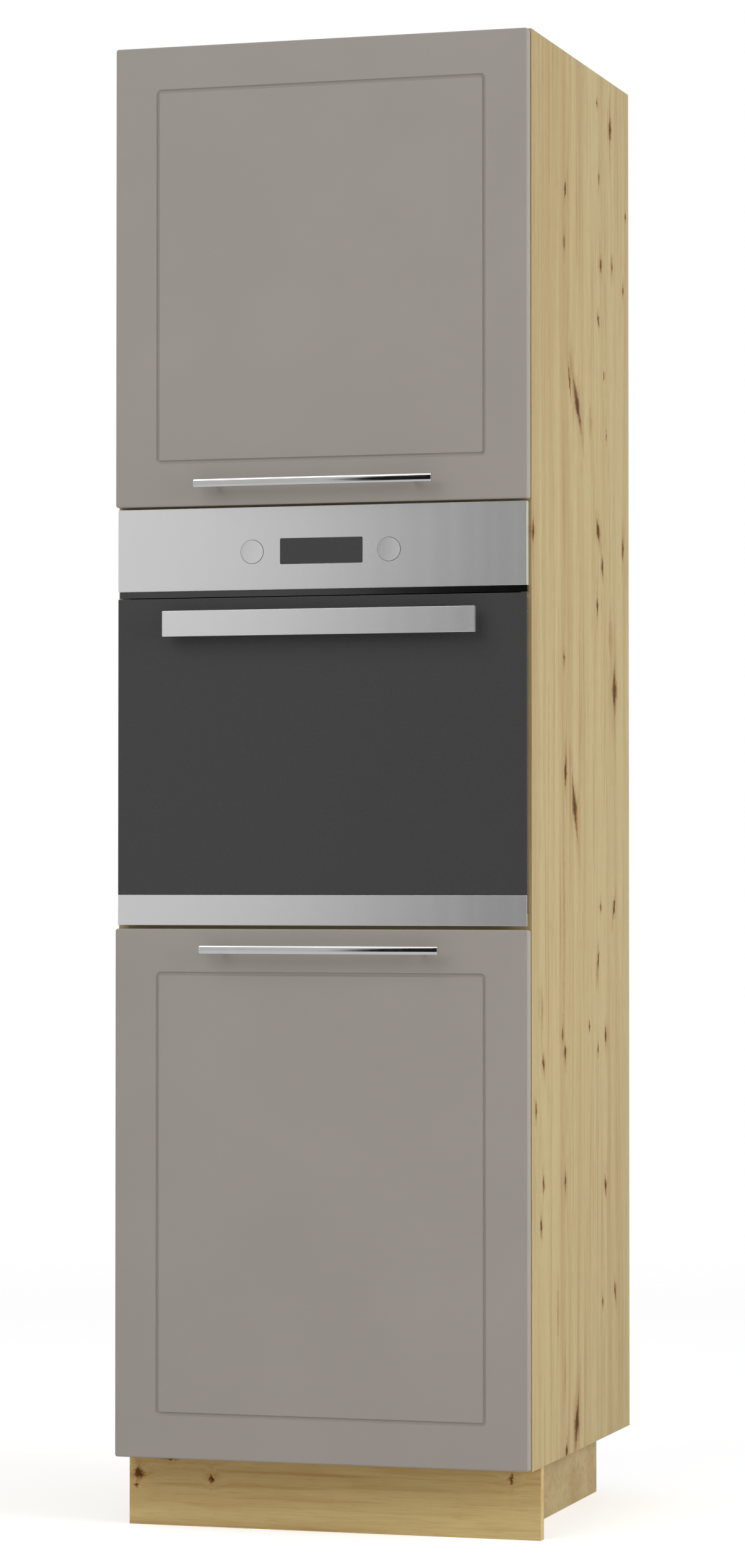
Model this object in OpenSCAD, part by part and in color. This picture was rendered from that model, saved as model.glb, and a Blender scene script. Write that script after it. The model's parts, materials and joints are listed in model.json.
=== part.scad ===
// Tall kitchen unit: a built-in oven between an upper and a lower hinged door.
// Millimetres, +Z up, the doors face -Y. The origin lies on the floor, in the
// middle of the outline. In the values below y = 0 is the front edge of the
// side panels, and place() moves each piece from there to the part's origin.

/* [Cabinet] */
// Overall width
cabinet_w = 600; // [590:1:640]
// Overall height, from the floor to the top
cabinet_h = 2078; // [2040:1:2200]
// Depth of the side panels, without the back sheet
panel_d = 565; // [562:1:600]
// Thickness of the carcass boards
board_t = 16; // [15.5:0.5:18]
// Thickness of the back sheets
back_t = 3; // [2.5:0.5:5]
// Distance of the back sheets from the outline
back_inset = 1.5; // [0.5:0.5:3]
// Height of the surface that the oven stands on
oven_base_z = 845; // [820:1:900]
// Clear height of the oven's niche
niche_h = 583; // [580:1:600]

/* [Shelves] */
// Height of the lower shelf above the middle of its space
lower_shelf_up = 1; // [-60:0.5:60]
// Height of the upper shelf above the middle of its space
upper_shelf_up = 0.5; // [-60:0.5:60]
// Distance of an adjustable shelf from the front edge
shelf_setback = 25; // [20:1:60]
// Gap beside an adjustable shelf
shelf_gap = 1; // [0.5:0.5:2]
// Radius of the shelf pin holes
pin_r = 2.5; // [2:0.5:3]
// Depth of the shelf pin holes
pin_depth = 9; // [7:1:11]
// Radius of a shelf pin's head
pin_head_r = 3.5; // [3.5:0.5:5]
// Length of a shelf pin's head
pin_head_l = 8; // [6:1:10]
// Pitch of the rows of shelf pin holes
pin_pitch = 32; // [28:1:36]

/* [Board fittings] */
// Radius of the round cams that pull the boards together
cam_r = 7.5; // [6:0.5:8]
// Depth of a cam's pocket
cam_h = 12.5; // [11:0.5:13.5]
// Distance of a cam from the board's end
cam_in = 34; // [24:1:40]
// Radius of the cam bolts
cam_bolt_r = 3; // [2.5:0.5:3.5]
// Depth of a cam bolt in the side panel
cam_bolt_in = 11; // [8:1:13]
// Distance of the cams from the front and rear edges
cam_edge = 60; // [45:1:90]

/* [Plinth and legs] */
// Height of the plinth
plinth_h = 100; // [90:1:130]
// Distance of the plinth's face behind the side panels' front edge
plinth_recess = 46.4; // [40:0.1:70]
// Distance of the plinth's sides from the cabinet's sides
plinth_inset = 50.8; // [30:0.1:60]
// Outer radius of a leg tube
leg_r = 15; // [14:0.5:18]
// Space for a clip between a leg and the plinth
clip_gap = 10; // [8:1:16]
// Radius of a leg's threaded stem
stem_r = 12; // [9:0.5:12.5]
// Radial clearance of the stem in its tube
stem_gap = 0.06; // [0.02:0.01:0.1]
// Radius of a leg's foot
foot_r = 22; // [18:0.5:23]
// Thickness of a leg's foot
foot_t = 8; // [5:0.5:12]
// Distance that a foot screws out
foot_travel = 20; // [10:1:25]
// Distance of the rear legs from the rear edge
rear_leg_in = 60; // [45:1:90]

/* [Doors] */
// Thickness of a door
door_t = 16; // [16:0.5:19]
// Gap between a door and the carcass
door_gap = 2; // [2:0.1:3]
// Distance of the doors' edges from the cabinet's sides
door_side_gap = 1; // [0.5:0.1:2]
// Distance of the doors from the cabinet's top and bottom
door_end_gap = 1.8; // [1:0.1:3]
// Gap between the lower door and the oven's base
gap_below_oven = 5; // [4:0.1:8]
// Gap between the niche and the upper door
gap_above_oven = 2.4; // [1.5:0.1:5]
// Rounding of the doors' front edges
door_round = 3; // [1:0.5:4]
// Rounding of the doors' back edges
door_back_round = 2; // [2:0.5:3]
// Distance of the routed groove's centre from the doors' edges
groove_inset = 62.4; // [50:0.1:90]
// Radius of the cutter that routs the groove
groove_r = 2.9; // [2:0.1:5]
// Depth of the groove
groove_deep = 1.3; // [0.5:0.1:1.9]

/* [Door handles] */
// Length of a handle's bar
handle_l = 344; // [200:1:400]
// Height of a handle's bar
handle_h = 11.6; // [11:0.1:16]
// Thickness of a handle's bar
handle_t = 7; // [6:0.5:12]
// Distance of a handle's front from the door
handle_reach = 28; // [24:0.5:40]
// How far the bar bows forward in the middle
handle_bow = 2.5; // [1:0.1:6]
// Spacing of a handle's posts
handle_pitch = 288; // [128:1:320]
// Radius of a handle's posts
post_r = 4.5; // [4:0.1:5.5]
// Height of the upper handle above the door's lower edge
upper_handle_up = 30; // [25:0.5:50]
// Sideways place of the upper handle
upper_handle_x = -3.7; // [-40:0.1:40]
// Depth of the lower handle below the door's upper edge
lower_handle_down = 28.7; // [25:0.1:50]
// Sideways place of the lower handle
lower_handle_x = 5; // [-40:0.1:40]

/* [Door hinges] */
// Radius of a hinge cup
cup_r = 17.5; // [17:0.5:18]
// Depth of a hinge cup
cup_deep = 12.5; // [12.5:0.1:13]
// Distance of a cup from the door's edge
cup_edge = 3; // [3:0.1:4]
// Distance of the hinge's axis from the door's edge
axis_edge = 7; // [6.8:0.1:7.2]
// Distance of the hinge's axis behind the door's front
axis_deep = 7; // [6.8:0.1:7.2]
// Radius of the hinge pin
hinge_pin_r = 1.2; // [1:0.1:1.3]
// Radial clearance of a turning pin
pin_gap = 0.05; // [0.02:0.01:0.1]
// Distance of the hinges from a door's ends
hinge_end = 100; // [80:1:140]
// Width of a hinge arm
arm_w = 9; // [8:0.5:9]
// Length of a hinge arm inside the cabinet
arm_l = 70; // [62:1:90]

/* [Wall brackets] */
// Spacing of the holes for the wall screws
wall_pitch = 400; // [200:1:480]
// Radius of the holes for the wall screws
wall_hole_r = 3; // [2.5:0.1:4]
// Length of a bracket's legs
bracket_l = 40; // [30:1:60]
// Thickness of a bracket
bracket_t = 2; // [1.5:0.5:3]

/* [Oven front] */
// Distance of the oven's front from the cabinet's sides
front_side_gap = 3.5; // [1.5:0.1:8]
// Distance of the oven's front before the side panels' edge
front_out = 14; // [14:0.1:16]
// Height of the control panel
panel_h = 115.3; // [100:0.1:125]
// Height of the air slot between the control panel and the door
vent_h = 10.4; // [8:0.1:14]
// Height of the steel strip under the glass
trim_h = 42.2; // [40:0.1:60]
// Gap between the control panel and the top of the niche
panel_top_gap = 0.8; // [0.5:0.1:4]
// Thickness of the steel sheet of the front
sheet_t = 1.5; // [1:0.1:1.6]
// Thickness of the outer glass
glass_t = 4; // [3:0.5:5]

/* [Oven controls] */
// Width of the display
display_w = 120; // [90:1:140]
// Height of the display
display_h = 36.1; // [28:0.1:44]
// Sideways place of the display
display_x = 2; // [-5:0.1:5]
// Height of the display's and knobs' centres above the panel's lower edge
controls_up = 53; // [50:0.5:60]
// Radius of a knob
knob_r = 16.4; // [14:0.1:18]
// Gap round a knob
knob_gap = 0.5; // [0.3:0.1:1]
// Spacing of the knobs
knob_pitch = 198.7; // [188:0.1:220]
// Distance that a knob pops out
knob_travel = 15; // [10:1:16]
// Radius of a knob's spindle
spindle_r = 3; // [2.5:0.1:4]

/* [Oven door] */
// Length of the oven handle
bar_l = 452.5; // [300:0.5:500]
// Height of the oven handle
bar_h = 36; // [28:0.5:40]
// Thickness of the oven handle
bar_t = 6; // [4:0.5:8]
// Distance of the oven handle's front from the glass
bar_reach = 24; // [22:0.5:45]
// Sideways place of the oven handle
bar_x = 3.1; // [-10:0.1:10]
// Depth of the handle's centre below the glass's upper edge
bar_down = 36.2; // [32:0.1:40]
// Spacing of the oven handle's posts
bar_pitch = 380; // [200:1:400]
// Thickness of the door behind the outer glass
door_body_t = 26.5; // [24:0.5:28]
// Height of the door's axis above its lower edge
door_axis_up = 6; // [5.9:0.1:6.2]
// Distance of the door's axis behind its front
door_axis_in = 5; // [4.9:0.1:5.2]
// Radius of the door's hinge pins
door_pin_r = 1.8; // [1.5:0.1:1.9]

/* [Oven body] */
// Gap between the oven's body and the niche's sides
body_side_gap = 5; // [4.5:0.5:8]
// Gap between the oven's body and the top of the niche
body_top_gap = 7; // [5:1:9]
// Distance of the oven's back from the side panels' rear edge
body_back_gap = 20; // [18:1:30]
// Thickness of the oven's outer sheets
casing_t = 1.5; // [1:0.1:2]
// Distance of the cooking space from the sides of the oven's body
cavity_side = 49; // [44:1:59]
// Height of the oven's body above the cooking space
cavity_head = 156; // [152:1:166]
// Depth of the oven's body behind the cooking space
cavity_behind = 113; // [108:1:123]
// Height of the cooking space's floor above the oven's base
cavity_up = 60; // [56:1:62]
// Wall of the cooking space
cavity_t = 1.5; // [1:0.1:2]
// Thickness of the insulation
wool_t = 30; // [20:1:32]

/* [Oven equipment] */
// Height of the tray's rails above the cooking space's floor
tray_level = 95; // [60:1:110]
// Spacing of the rails
rail_pitch = 60; // [50:1:60]
// Number of rails on each side
rail_count = 5; // [3:1:5]
// Radius of the rails
rail_r = 2.5; // [2:0.1:3]
// Radius of the wires between the rails
wire_r = 2; // [1.5:0.1:2.5]
// Depth of the baking tray
tray_deep = 26; // [15:1:40]
// Wall of the baking tray
tray_t = 1; // [0.8:0.1:2]
// Radius of the hot air fan
fan_r = 62; // [50:1:70]
// Radius of the ring heater
ring_r = 85; // [80:1:100]
// Radius of the heating elements' tube
heater_r = 3.5; // [3:0.1:4.5]
// Radius of the cooling fan
blower_r = 50; // [40:1:60]
// Radius of the supply cable's gland
gland_r = 5; // [4:0.1:6]

/* [Hidden] */

$fn = 64;
// Overshoot of a cut beyond the face that it opens
over = 1;
board_colour = [0.76, 0.69, 0.52];
door_colour = [0.59, 0.57, 0.54];
steel_colour = [0.72, 0.73, 0.74];
chrome_colour = [0.85, 0.86, 0.88];
dark_colour = [0.12, 0.12, 0.13];

// Carcass
outer_x = cabinet_w / 2;
inner_x = outer_x - board_t;
niche_top = oven_base_z + niche_h;
board_levels = [plinth_h, oven_base_z - board_t, niche_top, cabinet_h - board_t];
cam_rows = [cam_edge, panel_d - cam_edge];
cam_play = 0.3;
shelf_under = pin_head_r + board_t / 2;
pin_levels = [
    (board_levels[0] + board_t + board_levels[1]) / 2 + lower_shelf_up - shelf_under,
    (board_levels[2] + board_t + board_levels[3]) / 2 + upper_shelf_up - shelf_under];
pin_rows = [shelf_setback + 30, panel_d - 50];
front_reach = door_gap + door_t + handle_reach;
mid_y = (panel_d + back_t - front_reach) / 2;

// Screws: shank radius, head radius, head thickness and length in the wood
screw_r = 1.75;
screw_head_r = 3.4;
screw_head_t = 1.8;
screw_in = 12;

// Plinth and legs
plinth_back = plinth_recess + board_t;
plinth_x = outer_x - plinth_inset;
leg_x = plinth_x - board_t - clip_gap - leg_r;
leg_rows = [plinth_back + clip_gap + leg_r, panel_d - rear_leg_in];
leg_flange_t = 4;
leg_flange_r = leg_r + clip_gap - 1;
leg_screw_in = leg_r + 4.4;
leg_tube_z = foot_t + foot_travel;
clip_h = 12;
clip_levels = [plinth_h * 0.6, plinth_h * 0.4];
clip_wrap = 3;

// Doors
door_front = -door_gap - door_t;
door_x = outer_x - door_side_gap;
lower_door_z = [plinth_h + door_end_gap, oven_base_z - gap_below_oven];
upper_door_z = [niche_top + gap_above_oven, cabinet_h - door_end_gap];
upper_handle_z = upper_door_z[0] + upper_handle_up;
lower_handle_z = lower_door_z[1] - lower_handle_down;
handle_screw_r = 2;
handle_screw_in = 12;
handle_head_r = 4;
handle_head_t = 2.4;

// Door hinges, all on the left
cup_x = -door_x + cup_edge + cup_r;
cup_wall = 1;
cup_floor = 0.8;
cup_flange_t = 0.9;
cup_wing = [8, 27];
cup_screw_up = 22.4;
axis_x = -door_x + axis_edge;
axis_y = door_front + axis_deep;
eye_r = hinge_pin_r + 0.85;
arm_t = 2.2;
riser_x = axis_x + 13;
plate_t = inner_x + riser_x - arm_t / 2;
plate_y = [18, 56];
plate_wing = 24;
plate_screw_y = 37;
plate_screw_up = 16;
pin_half = arm_w / 2 + 4.5;
ear_gap = 1;
arm_bar_y = 6;
arm_bar_t = 9;
arm_bar_up = 1.5;
upper_hinges = [upper_door_z[0] + hinge_end, upper_door_z[1] - hinge_end];
lower_hinges = [lower_door_z[0] + hinge_end, lower_door_z[1] - hinge_end];
all_hinges = concat(upper_hinges, lower_hinges);

// Oven front
front_y = -front_out;
front_x = outer_x - front_side_gap;
panel_z = [niche_top - panel_top_gap - panel_h, niche_top - panel_top_gap];
glass_z = [oven_base_z + trim_h, panel_z[0] - vent_h];
controls_z = panel_z[0] + controls_up;
knob_mid = 0.65;
knob_places = [knob_mid - knob_pitch / 2, knob_mid + knob_pitch / 2];
knob_out = 0.4;
knob_l = knob_travel + 7;
knob_back = front_y - knob_out + knob_l;
board_y = knob_back + 2;
circuit_t = 1.6;
switch_t = 20;
circuit_edge = 10.65;
circuit_x = knob_pitch / 2 + switch_t + circuit_edge;
circuit_up = switch_t + 12;
circuit_post_r = 3;
circuit_post_x = circuit_x - 5;
circuit_post_up = circuit_up - 6;

// Oven body
body_x = inner_x - body_side_gap;
body_top = niche_top - body_top_gap;
body_back = panel_d - body_back_gap;
door_back = front_y + glass_t + door_body_t;
gasket_t = 3.2;
gasket_gap = 0.3;
frame_y = door_back + gasket_gap + gasket_t;
frame_t = 2;
cavity_x = body_x - cavity_side;
cavity_z = [oven_base_z + cavity_up, body_top - cavity_head];
cavity_y = [frame_y + frame_t, body_back - cavity_behind];
cavity_back = cavity_y[1] + cavity_t;
wool_back = cavity_back + wool_t;
deck_z = cavity_z[1] + cavity_t + wool_t;
flange_t = 1.2;

// Oven door
door_axis_y = front_y + door_axis_in;
door_axis_z = oven_base_z + door_axis_up;
door_body_x = body_x - 9;
door_body_z = [oven_base_z + 15, glass_z[1] - 5.5];
end_plate_t = 2;
end_plate_up = 50;
bracket_x = [door_body_x + end_plate_t + 2, door_body_x + end_plate_t + 5];
door_eye_r = door_pin_r + 1.2;
bar_z = glass_z[1] - bar_down;
bar_post_r = 7;
bar_screw_r = 2.5;
bar_head_r = 5;
bar_head_t = 4;
bar_screw_in = 12;
bar_head_y = door_back - 12.5;
window_x = door_body_x - 55;
window_z = [cavity_z[0] + 10, bar_z - bar_head_r - 20];
inner_glass_lap = 12;
inner_glass_t = 4;
door_sheet_t = 1.5;

// Oven equipment
fan_z = (cavity_z[0] + cavity_z[1]) / 2;
baffle_y = cavity_y[1] - 40;
baffle_half = 128;
baffle_t = 1.5;
baffle_hole_r = 8;
baffle_holes_at = 40;
baffle_slot_half = 45;
baffle_slot = [108, 116];
baffle_post_r = 3;
baffle_post = baffle_half - 10;
fan_y = [baffle_y + 8, baffle_y + 26];
fan_sheet_t = 1.5;
fan_hub_r = 10;
fan_blade_t = 1.5;
fan_edge = 2;
shaft_r = 4;
shaft_in = 22;
motor_neck_r = 14;
motor_r = 34;
motor_l = 30;
motor_bore = 24;
rail_x = cavity_x - 10;
guide_x = cavity_x - 4;
rail_y = [cavity_y[0] + 33, cavity_y[1] - 27];
rack_y = [rail_y[0] + 14, rail_y[1] - 16];
tray_rail_z = cavity_z[0] + tray_level;
shelf_rail_z = tray_rail_z + rail_pitch;
rail_levels = [for (i = [0 : rail_count - 1]) tray_rail_z + (i - 1) * rail_pitch];
grill_below = 15;
grill_z = cavity_z[1] - grill_below;
grill_runs = [-150, -90, -30, 30, 90, 150];
grill_in = 60;
grill_y = [cavity_y[0] + grill_in, cavity_y[1] - grill_in];
lamp_in = 50;
lamp_x = -cavity_x + lamp_in;
lamp_z = cavity_z[1] - lamp_in;
lamp_r = 24;
lamp_socket_r = 16;
blower_in = 215;
blower_y = body_back - blower_in;
blower_z = deck_z + casing_t;
blower_h = 45;
blower_gap = 7;
duct_x = 50;
duct_h = 30;
terminal_in = 114;
terminal_below = 45;
terminal_x = -body_x + terminal_in;
terminal_z = body_top - terminal_below;
terminal_size = [70, 12, 50];
gland_wall = 4;
gland_l = 9;

// ---------------------------------------------------------------- tools

// Moves a piece from the side panels' front edge to the part's origin
module place() {
    translate([0, -mid_y, 0]) children();
}

// A block between its lowest and its highest corner
module block(low, high) {
    translate(low) cube(high - low);
}

// A block that is mirrored to both sides of x = 0
module both_sides() {
    children();
    mirror([1, 0, 0]) children();
}

// Round rods along each direction
module rod_x(r, x, y, z) {
    translate([x[0], y, z]) rotate([0, 90, 0]) cylinder(r = r, h = x[1] - x[0]);
}

module rod_y(r, x, y, z) {
    translate([x, y[0], z]) rotate([-90, 0, 0]) cylinder(r = r, h = y[1] - y[0]);
}

module rod_z(r, x, y, z) {
    translate([x, y, z[0]]) cylinder(r = r, h = z[1] - z[0]);
}

// What a round-over takes off an upright edge at the origin, solid towards +x +y
module edge_cut(r, l) {
    difference() {
        translate([-over, -over, -over]) cube([r + over, r + over, l + 2 * over]);
        translate([r, r, -2 * over]) cylinder(r = r, h = l + 4 * over);
    }
}

// ---------------------------------------------------------------- carcass

// Every hole that the shelf pins and the cam bolts need in a right side panel
module side_holes() {
    for (level = pin_levels, row = pin_rows, step = [-2 : 2])
        rod_x(pin_r, [inner_x - over, inner_x + pin_depth], row, level + step * pin_pitch);
    for (level = board_levels, row = cam_rows)
        rod_x(cam_bolt_r, [inner_x - over, inner_x + cam_bolt_in], row, level + board_t / 2);
}

module front_screw_holes() {
    for (z = oven_screw_levels())
        rod_y(screw_r, oven_screw_x(), [-over, oven_screw_in()], z);
}

module side_panel_right() {
    color(board_colour) place() difference() {
        block([inner_x, 0, plinth_h], [outer_x, panel_d, cabinet_h]);
        side_holes();
        front_screw_holes();
    }
}

module side_panel_left() {
    color(board_colour) place() difference() {
        block([-outer_x, 0, plinth_h], [-inner_x, panel_d, cabinet_h]);
        mirror([1, 0, 0]) side_holes();
        mirror([1, 0, 0]) front_screw_holes();
        hinge_plate_screws();
    }
}

// The pockets of one fixed board's cams and the bores of their bolts
module cam_cuts(level) {
    both_sides() for (row = cam_rows) {
        rod_z(cam_r, inner_x - cam_in, row, [level - over, level + cam_h]);
        rod_x(cam_bolt_r + cam_play, [inner_x - cam_in, inner_x + over], row,
              level + board_t / 2);
    }
}

module fixed_board(level) {
    difference() {
        block([-inner_x, 0, level], [inner_x, panel_d, level + board_t]);
        cam_cuts(level);
    }
}

module top_panel() {
    color(board_colour) place() difference() {
        fixed_board(board_levels[3]);
        bracket_screws();
    }
}

module bottom_panel() {
    color(board_colour) place() difference() {
        fixed_board(board_levels[0]);
        leg_screws();
    }
}

module oven_shelf() {
    color(board_colour) place() fixed_board(board_levels[1]);
}

module divider_shelf() {
    color(board_colour) place() fixed_board(board_levels[2]);
}

// The round cams and their bolts: a bolt's end sits in the slot of each cam
module cam_fittings() {
    color(steel_colour) place() for (level = board_levels) both_sides() for (row = cam_rows) {
        z = level + board_t / 2;
        rod_x(cam_bolt_r, [inner_x - cam_in + cam_play, inner_x + cam_bolt_in], row, z);
        difference() {
            rod_z(cam_r, inner_x - cam_in, row, [level, level + cam_h]);
            rod_x(cam_bolt_r + cam_play, [inner_x - cam_in, inner_x], row, z);
        }
    }
}

module back_sheets() {
    x = outer_x - back_inset;
    y = [panel_d, panel_d + back_t];
    color("white") place() difference() {
        union() {
            block([-x, y[0], plinth_h + back_inset], [x, y[1], oven_base_z]);
            block([-x, y[0], niche_top], [x, y[1], cabinet_h - back_inset]);
        }
        wall_holes();
    }
}

module adjustable_shelves() {
    x = inner_x - shelf_gap;
    color(board_colour) place() for (level = pin_levels)
        block([-x, shelf_setback, level + pin_head_r],
              [x, panel_d - shelf_gap, level + pin_head_r + board_t]);
}

module shelf_pins() {
    color(steel_colour) place() both_sides() for (level = pin_levels, row = pin_rows) {
        rod_x(pin_r, [inner_x, inner_x + pin_depth], row, level);
        rod_x(pin_head_r, [inner_x - pin_head_l, inner_x], row, level);
    }
}

// ---------------------------------------------------------------- plinth and legs

module plinth_front() {
    color(board_colour) place()
        block([-outer_x, plinth_recess, 0], [outer_x, plinth_back, plinth_h]);
}

module plinth_sides() {
    color(board_colour) place() both_sides()
        block([plinth_x - board_t, plinth_back, 0], [plinth_x, panel_d, plinth_h]);
}

// The clips that hold the plinth boards: each grips a leg's tube from one side
module plinth_clips() {
    half = leg_r + clip_wrap;
    z = [for (level = clip_levels) [level, level + clip_h]];
    color(dark_colour) place() both_sides() {
        difference() {
            block([leg_x - half, plinth_back, z[0][0]], [leg_x + half, leg_rows[0] + 5, z[0][1]]);
            rod_z(leg_r, leg_x, leg_rows[0], [z[0][0] - over, z[0][1] + over]);
        }
        for (row = leg_rows) difference() {
            block([leg_x - 5, row - half, z[1][0]], [plinth_x - board_t, row + half, z[1][1]]);
            rod_z(leg_r, leg_x, row, [z[1][0] - over, z[1][1] + over]);
        }
    }
}

// The screws that hold the legs to the bottom panel
module leg_screws() {
    z = plinth_h - leg_flange_t;
    both_sides() for (row = leg_rows, side = [-1, 1]) {
        rod_z(screw_r, leg_x, row + side * leg_screw_in, [z, plinth_h + screw_in]);
        rod_z(screw_head_r, leg_x, row + side * leg_screw_in, [z - screw_head_t, z]);
    }
}

module leg_sockets() {
    color(dark_colour) place() difference() {
        both_sides() for (row = leg_rows) difference() {
            union() {
                rod_z(leg_r, leg_x, row, [leg_tube_z, plinth_h]);
                rod_z(leg_flange_r, leg_x, row, [plinth_h - leg_flange_t, plinth_h]);
            }
            rod_z(stem_r + stem_gap, leg_x, row, [leg_tube_z - over, plinth_h - leg_flange_t]);
        }
        leg_screws();
    }
}

// A foot with its stem, which screws out of the leg's tube
module leg_foot(side, row) {
    color(dark_colour) place() {
        rod_z(foot_r, side * leg_x, leg_rows[row], [0, foot_t]);
        rod_z(stem_r, side * leg_x, leg_rows[row], [0, plinth_h - 2 * leg_flange_t]);
    }
}

module foot_front_left() {
    leg_foot(-1, 0);
}

module foot_front_right() {
    leg_foot(1, 0);
}

module foot_rear_left() {
    leg_foot(-1, 1);
}

module foot_rear_right() {
    leg_foot(1, 1);
}

// ---------------------------------------------------------------- wall brackets

bracket_top = cabinet_h - board_t;
bracket_half = 15;
bracket_hole_z = bracket_top - 0.6 * bracket_l;

module wall_holes() {
    both_sides() rod_y(wall_hole_r, wall_pitch / 2,
        [panel_d - bracket_t - over, panel_d + back_t + over], bracket_hole_z);
}

module bracket_screws() {
    y = panel_d - 0.6 * bracket_l;
    z = bracket_top - bracket_t;
    both_sides() {
        rod_z(screw_r, wall_pitch / 2, y, [z, bracket_top + screw_in]);
        rod_z(screw_head_r, wall_pitch / 2, y, [z - screw_head_t, z]);
    }
}

module wall_brackets() {
    x = [wall_pitch / 2 - bracket_half, wall_pitch / 2 + bracket_half];
    color(steel_colour) place() difference() {
        both_sides() {
            block([x[0], panel_d - bracket_l, bracket_top - bracket_t],
                  [x[1], panel_d, bracket_top]);
            block([x[0], panel_d - bracket_t, bracket_top - bracket_l],
                  [x[1], panel_d, bracket_top]);
        }
        wall_holes();
        bracket_screws();
    }
}

// ---------------------------------------------------------------- doors

// What routs the frame line in a door's face: a round-nosed cutter's path
module groove(z) {
    x = door_x - groove_inset;
    y = door_front - groove_r + groove_deep;
    for (level = [z[0] + groove_inset, z[1] - groove_inset]) {
        rod_x(groove_r, [-x, x], y, level);
        for (side = [-x, x]) translate([side, y, level]) sphere(r = groove_r);
    }
    for (side = [-x, x])
        rod_z(groove_r, side, y, [z[0] + groove_inset, z[1] - groove_inset]);
}

// What rounds the four edges of one face of a door, which looks towards -y
module face_rounding(r, z) {
    both_sides() translate([-door_x, 0, z[0]]) edge_cut(r, z[1] - z[0]);
    translate([door_x, 0, z[0]]) rotate([0, -90, 0]) edge_cut(r, 2 * door_x);
    translate([-door_x, 0, z[1]]) rotate([0, 90, 0]) edge_cut(r, 2 * door_x);
}

module door(z, hinges, handle_x, handle_z) {
    difference() {
        block([-door_x, door_front, z[0]], [door_x, -door_gap, z[1]]);
        translate([0, door_front, 0]) face_rounding(door_round, z);
        translate([0, -door_gap, 0]) mirror([0, 1, 0]) face_rounding(door_back_round, z);
        groove(z);
        for (level = hinges) rod_y(cup_r, cup_x, [-door_gap - cup_deep, -door_gap + over], level);
        cup_screws(hinges);
        for (side = [-1, 1]) rod_y(handle_screw_r, handle_x + side * handle_pitch / 2,
            [door_front - over, -door_gap + over], handle_z);
    }
}

module upper_door() {
    color(door_colour) place()
        door(upper_door_z, upper_hinges, upper_handle_x, upper_handle_z);
}

module lower_door() {
    color(door_colour) place()
        door(lower_door_z, lower_hinges, lower_handle_x, lower_handle_z);
}

// The bowed bar seen from above: its front and its back follow one arc each
function bar_arc(y, half, steps, dir) = [for (i = [0 : steps])
    let (x = dir * half * (2 * i / steps - 1)) [x, y + handle_bow * pow(x / half, 2)]];

module handle(x, z) {
    front = door_front - handle_reach;
    half = handle_l / 2;
    steps = 28;
    sag = handle_bow * pow(handle_pitch / handle_l, 2);
    difference() {
        union() {
            translate([x, 0, z - handle_h / 2]) linear_extrude(handle_h) polygon(concat(
                bar_arc(front, half, steps, 1), bar_arc(front + handle_t, half, steps, -1)));
            for (side = [-1, 1]) rod_y(post_r, x + side * handle_pitch / 2,
                [front + sag + handle_t / 2, door_front], z);
        }
        for (side = [-1, 1]) rod_y(handle_screw_r, x + side * handle_pitch / 2,
            [door_front - handle_screw_in, door_front + over], z);
    }
}

module upper_handle() {
    color(chrome_colour) place() handle(upper_handle_x, upper_handle_z);
}

module lower_handle() {
    color(chrome_colour) place() handle(lower_handle_x, lower_handle_z);
}

// ---------------------------------------------------------------- door hinges

// The screws of the hinge cups, in the door's back
module cup_screws(hinges) {
    for (level = hinges, side = [-1, 1]) {
        rod_y(screw_r, cup_x, [-door_gap - screw_in, -door_gap + cup_flange_t],
              level + side * cup_screw_up);
    }
}

module cup_screw_heads(hinges) {
    for (level = hinges, side = [-1, 1])
        rod_y(screw_head_r, cup_x,
              [-door_gap + cup_flange_t, -door_gap + cup_flange_t + 0.6],
              level + side * cup_screw_up);
}

module hinge_pin(level, r, half) {
    rod_z(r, axis_x, axis_y, [level - half, level + half]);
}

// A steel cup with the two ears that hold its pin, and a flange with two wings
module hinge_cups(hinges) {
    back = -door_gap;
    bottom = back - cup_deep;
    for (level = hinges) difference() {
        union() {
            difference() {
                rod_y(cup_r, cup_x, [bottom, back], level);
                rod_y(cup_r - cup_wall, cup_x, [bottom + cup_floor, back + over], level);
            }
            intersection() {
                rod_y(cup_r, cup_x, [bottom, axis_y + 2.5], level);
                for (side = [-1, 1]) block(
                    [axis_x - 5, bottom, level + side * (arm_w / 2 + ear_gap + 2) - 2],
                    [axis_x + 3, back, level + side * (arm_w / 2 + ear_gap + 2) + 2]);
            }
            difference() {
                block([cup_x - cup_wing[0], back, level - cup_wing[1]],
                      [cup_x + cup_wing[0], back + cup_flange_t, level + cup_wing[1]]);
                rod_y(cup_r - cup_wall, cup_x, [back - over, back + 2 * over], level);
            }
        }
        hinge_pin(level, hinge_pin_r, pin_half);
        cup_screws([level]);
    }
}

// The arm: an eye round the pin, a crank out of the cup and a bar on its plate
module hinge_arms() {
    half = arm_w / 2;
    plate_x = -inner_x + plate_t;
    color(steel_colour) place() for (level = all_hinges) difference() {
        union() {
            hinge_pin(level, eye_r, half);
            block([axis_x, axis_y - arm_t / 2, level - half],
                  [riser_x + arm_t / 2, axis_y + arm_t / 2, level + half]);
            block([riser_x - arm_t / 2, axis_y - arm_t / 2, level - half],
                  [riser_x + arm_t / 2, arm_bar_y + arm_t, level + half]);
            block([plate_x, arm_bar_y, level - half - arm_bar_up],
                  [plate_x + arm_bar_t, arm_l, level + half + arm_bar_up]);
        }
        hinge_pin(level, hinge_pin_r + pin_gap, half + over);
    }
}

module hinge_plate_screws() {
    x = -inner_x + plate_t;
    for (level = all_hinges, side = [-1, 1])
        rod_x(screw_r, [-inner_x - screw_in, x], plate_screw_y, level + side * plate_screw_up);
}

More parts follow.
